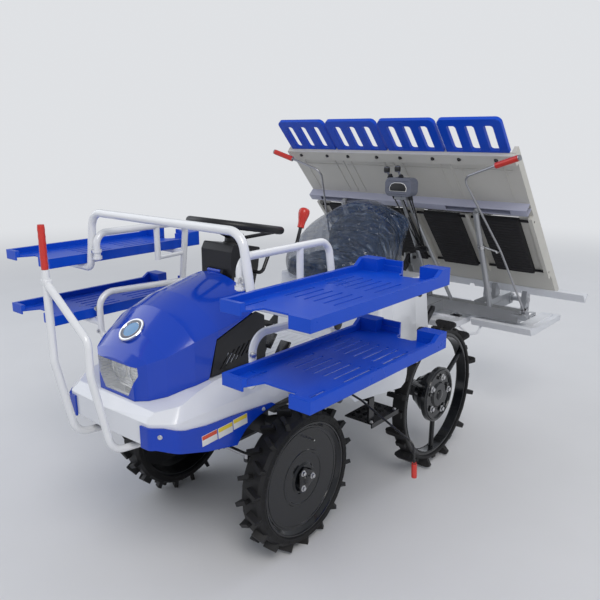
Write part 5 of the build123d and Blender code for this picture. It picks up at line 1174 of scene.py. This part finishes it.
BOX_X = 100.0
BOX_Z = 1226.0
BOX_FACE_Y = 400.0
ROTOR_Y = 1255.0
ROTOR_Z = 578.0
ARM_Z = 86.0
FLOAT_RIBS = ((330.0, 1090.0, 528.0, 16.0, 280.0), (570.0, 1090.0, 528.0, 16.0, 280.0),
              (450.0, 938.0, 531.0, 200.0, 14.0), (62.0, 1050.0, 529.0, 16.0, 330.0),
              (232.0, 1090.0, 528.0, 16.0, 280.0))
MARKER = (560.0, 870.0, 600.0)
MARKER_LEAN = math.radians(58.5)


class MESH_OT_planter(Operator):
    """Makes the control box's front, knobs and rods, and the details of cases, rotors, floats and markers"""
    bl_idname = "mesh.transplanter_planter"
    bl_label = "Planting unit"

    def execute(self, context):
        self.box_front()
        self.box_controls()
        self.cases()
        for side, name in SIDES:
            self.rotor(side * LANE, name)
        self.floats()
        for side, name in SIDES:
            self.marker(side, name)
        return {"FINISHED"}

    def box_front(self):
        face = at(BOX_X, BOX_FACE_Y, BOX_Z) @ turn(90.0, "X") @ off(0, 0, -0.0008)
        arch = [(-44, -20), (44, -20), (47, -4), (36, 14), (18, 20), (-18, 20), (-36, 14), (-47, -4)]
        with piece("box_slot_rim", "label_white", "planter") as put:
            put(plate(arch, 2.4, 0.8), face)
        with piece("box_slot", "grip_rubber", "planter") as put:
            put(plate([(x * 0.93, y * 0.90) for x, y in arch], 3.2, 0.6), face)
        with piece("box_trim", "box_plastic", "planter") as put:
            for z in (1196.0, 1254.0):
                put(block(118.0, 3.0, 4.0, 1.2, 2), at(BOX_X, BOX_FACE_Y - 0.6, z))
            for x in (46.0, 154.0):
                put(bolt_head(4.0, False), stand(mm(x, BOX_FACE_Y, BOX_Z), (0, -1, 0)))

    def box_controls(self):
        with piece("box_knobs", "grip_rubber", "planter", 60.0) as put:
            for x, z in ((18.0, 1300.0), (76.0, 1306.0)):
                put(turned(((0.0, -15.0), (8.0, -15.0), (13.4, -10.0), (14.6, 0.0), (14.0, 9.0), (10.0, 14.0),
                            (0.0, 16.0)), 28), at(x, 430.0, z))
                bellows = ((16.0, 0.0), (12.0, 4.0), (14.0, 7.0), (9.0, 11.0), (10.0, 14.0), (5.2, 18.0))
                put(turned(bellows, 24), at(x + 20.0, 430.0, 1264.0))
        with piece("box_rods", "black_paint", "planter") as put:
            joint = mm(104.0, 640.0, 912.0)
            for dx, dy in ((-46.0, 0.0), (-22.0, 12.0), (8.0, -8.0), (34.0, 10.0), (52.0, 2.0)):
                top = mm(BOX_X + dx, 430.0 + dy, 1186.0)
                way = joint + Vector((dx * 0.00025, dy * 0.0004, 0)) - top
                put(rod(3.2, 0.0, way.length * 1000.0), stand(top, way))
                put(turned(((0.0, 0.0), (6.0, 0.0), (6.0, 22.0), (3.4, 30.0), (0.0, 30.0)), 14),
                    stand(top, way))
            put(block(70.0, 30.0, 26.0, 5.0, 3), Matrix.Translation(joint))

    def cases(self):
        with piece("case_bolts", "zinc", "planter") as bolt, \
                piece("case_covers", "alloy", "planter") as cover:
            for side, _ in SIDES:
                x = side * LANE
                for face in (-1, 1):
                    hub = sideways(x + face * 30.0, ROTOR_Y, ROTOR_Z, face)
                    cover(turned(((16.0, 0.0), (30.0, 0.0), (30.0, 4.0), (24.0, 8.0), (16.0, 8.0)), 32, True),
                          hub)
                    for k in range(6):
                        bolt(bolt_head(4.2, False), hub @ turn(60.0 * k) @ off(0.0262, 0, 0.0042))
                    for k in range(4):
                        cover(block(3.4, 52.0, 5.0, 1.5, 2), at(x + face * 31.2, 1000.0 + 52.0 * k, 582.0))
                for dx in (-20.0, 20.0):
                    for dz in (-24.0, 24.0):
                        bolt(bolt_head(5.0), stand(mm(x + dx, 941.5, 585.0 + dz), (0, 1, 0)))

    def rotor(self, x, name):
        with piece("rotor_covers_" + name, "steel", "rotors_" + name) as put:
            for s in (-1, 1):
                hub = sideways(x + s * 124.0, ROTOR_Y, ROTOR_Z, s)
                put(turned(((0.0, 7.0), (14.0, 7.0), (18.0, 4.0), (20.0, -1.0), (0.0, -1.0)), 28), hub)
                for dz in (-44.0, 44.0):
                    put(bolt_head(4.6), sideways(x + s * 124.0, ROTOR_Y, ROTOR_Z + dz, s))
        for z, letter in ((ROTOR_Z + ARM_Z, "a"), (ROTOR_Z - ARM_Z, "b")):
            with piece("arm_details_" + name + "_" + letter, "zinc", "arms_" + name + "_" + letter) as put:
                for row in (x - LANE / 2, x + LANE / 2):
                    for face in (-1, 1):
                        put(turned(((9.6, 0.0), (15.0, 0.0), (15.0, 2.0), (12.0, 4.0), (9.6, 4.0)), 24, True),
                            sideways(row + face * 14.8, ROTOR_Y, z, face))
                        put(bolt_head(3.6, False), sideways(row + face * 14.8, ROTOR_Y - 40.0, z, face))
                    put(block(20.0, 26.0, 3.0, 1.2, 2), at(row, ROTOR_Y - 41.0, z + 18.0) @ turn(18.0, "X"))

    def floats(self):
        with piece("float_ribs", "deck_plastic", "planter") as put:
            for side, _ in SIDES:
                for x, y, z, wide, long in FLOAT_RIBS:
                    put(block(wide, long, 8.0, 3.0, 3), at(side * x, y, z))
            put(block(420.0, 14.0, 8.0, 3.0, 3), at(0, 830.0, 533.0))
        with piece("float_feet", "black_paint", "planter") as put:
            for side, _ in SIDES:
                for x in (190.0, 450.0):
                    put(turned(((8.6, 0.0), (20.0, 0.0), (20.0, 4.0), (11.0, 9.0), (8.6, 9.0)), 24, True),
                        at(side * x, 880.0, 529.6))
                    put(block(54.0, 40.0, 5.0, 1.8, 2), at(side * x, 880.0, 530.6))

    def marker(self, side, name):
        axis = Vector((0.0, math.sin(MARKER_LEAN), math.cos(MARKER_LEAN)))
        down = axis.cross(Vector((1.0, 0.0, 0.0)))
        base = mm(side * MARKER[0], MARKER[1], MARKER[2])
        low = base + Vector((-side * 0.005, 0, 0)) - down * 0.862
        way = base + Vector((side * 0.105, 0, 0)) - down * 0.905 - low
        length = way.length * 1000.0
        with piece("marker_grip_" + name, "marker_plastic", "marker_" + name) as put:
            ends = ([(0.0, 0.4), (11.0, 0.8), (13.2, 3.0)], [(11.4, length - 1.2), (0.0, length - 0.6)])
            put(ribbed(ends, 12.5, 0.8, 6.0, length - 14.0, 14, 26), stand(low, way))
        with piece("marker_hook_" + name, "zinc", "planter") as put:
            start = mm(side * 392.0, 712.0, 941.0)
            end = mm(side * 488.0, 668.0, 932.0)
            put(rod(4.6, 0.0, (end - start).length * 1000.0, 12), stand(start, end - start))
            put(block(8.0, 34.0, 8.0, 3.0, 3), Matrix.Translation(end + Vector((0, -0.006, 0.0))))
            post = mm(0, 880.0, 585.0) - mm(0, 631.0, 1110.9)
            put(turned(((14.2, -8.0), (17.4, -8.0), (17.4, 8.0), (14.2, 8.0)), 26, True),
                stand(mm(side * 380.0, 712.0, 941.0), post.normalized()))
        with piece("marker_bolt_" + name, "zinc", "planter") as put:
            put(bolt_head(11.0), stand(base + axis * 0.0125, axis))


STEPS = (STAGE_OT_transplanter, OBJECT_OT_transplanter_finish, MESH_OT_seat, MESH_OT_hood, MESH_OT_strips,
         MESH_OT_front_wheels, MESH_OT_rear_wheels, MESH_OT_steering, MESH_OT_deck, MESH_OT_racks,
         MESH_OT_table, MESH_OT_planter)


class VIEW3D_PT_transplanter(Panel):
    bl_label = "Transplanter"
    bl_idname = "VIEW3D_PT_transplanter"
    bl_space_type = "VIEW_3D"
    bl_region_type = "UI"
    bl_category = "Transplanter"

    def draw(self, context):
        for step in STEPS:
            self.layout.operator(step.bl_idname)
        for group in (context.scene.transplanter_sizes, context.scene.transplanter_colours):
            for name in group.bl_rna.properties.keys():
                if name not in ("rna_type", "name"):
                    self.layout.prop(group, name)


CLASSES = (TransplanterColours, TransplanterSizes) + STEPS + (VIEW3D_PT_transplanter,)


def register():
    for cls in CLASSES:
        bpy.utils.register_class(cls)
    bpy.types.Scene.transplanter_colours = PointerProperty(type=TransplanterColours)
    bpy.types.Scene.transplanter_sizes = PointerProperty(type=TransplanterSizes)


def unregister():
    del bpy.types.Scene.transplanter_sizes
    del bpy.types.Scene.transplanter_colours
    for cls in reversed(CLASSES):
        bpy.utils.unregister_class(cls)


def main():
    register()
    for step in STEPS:
        group, name = step.bl_idname.split(".")
        getattr(getattr(bpy.ops, group), name)()


if __name__ == "__main__":
    main()
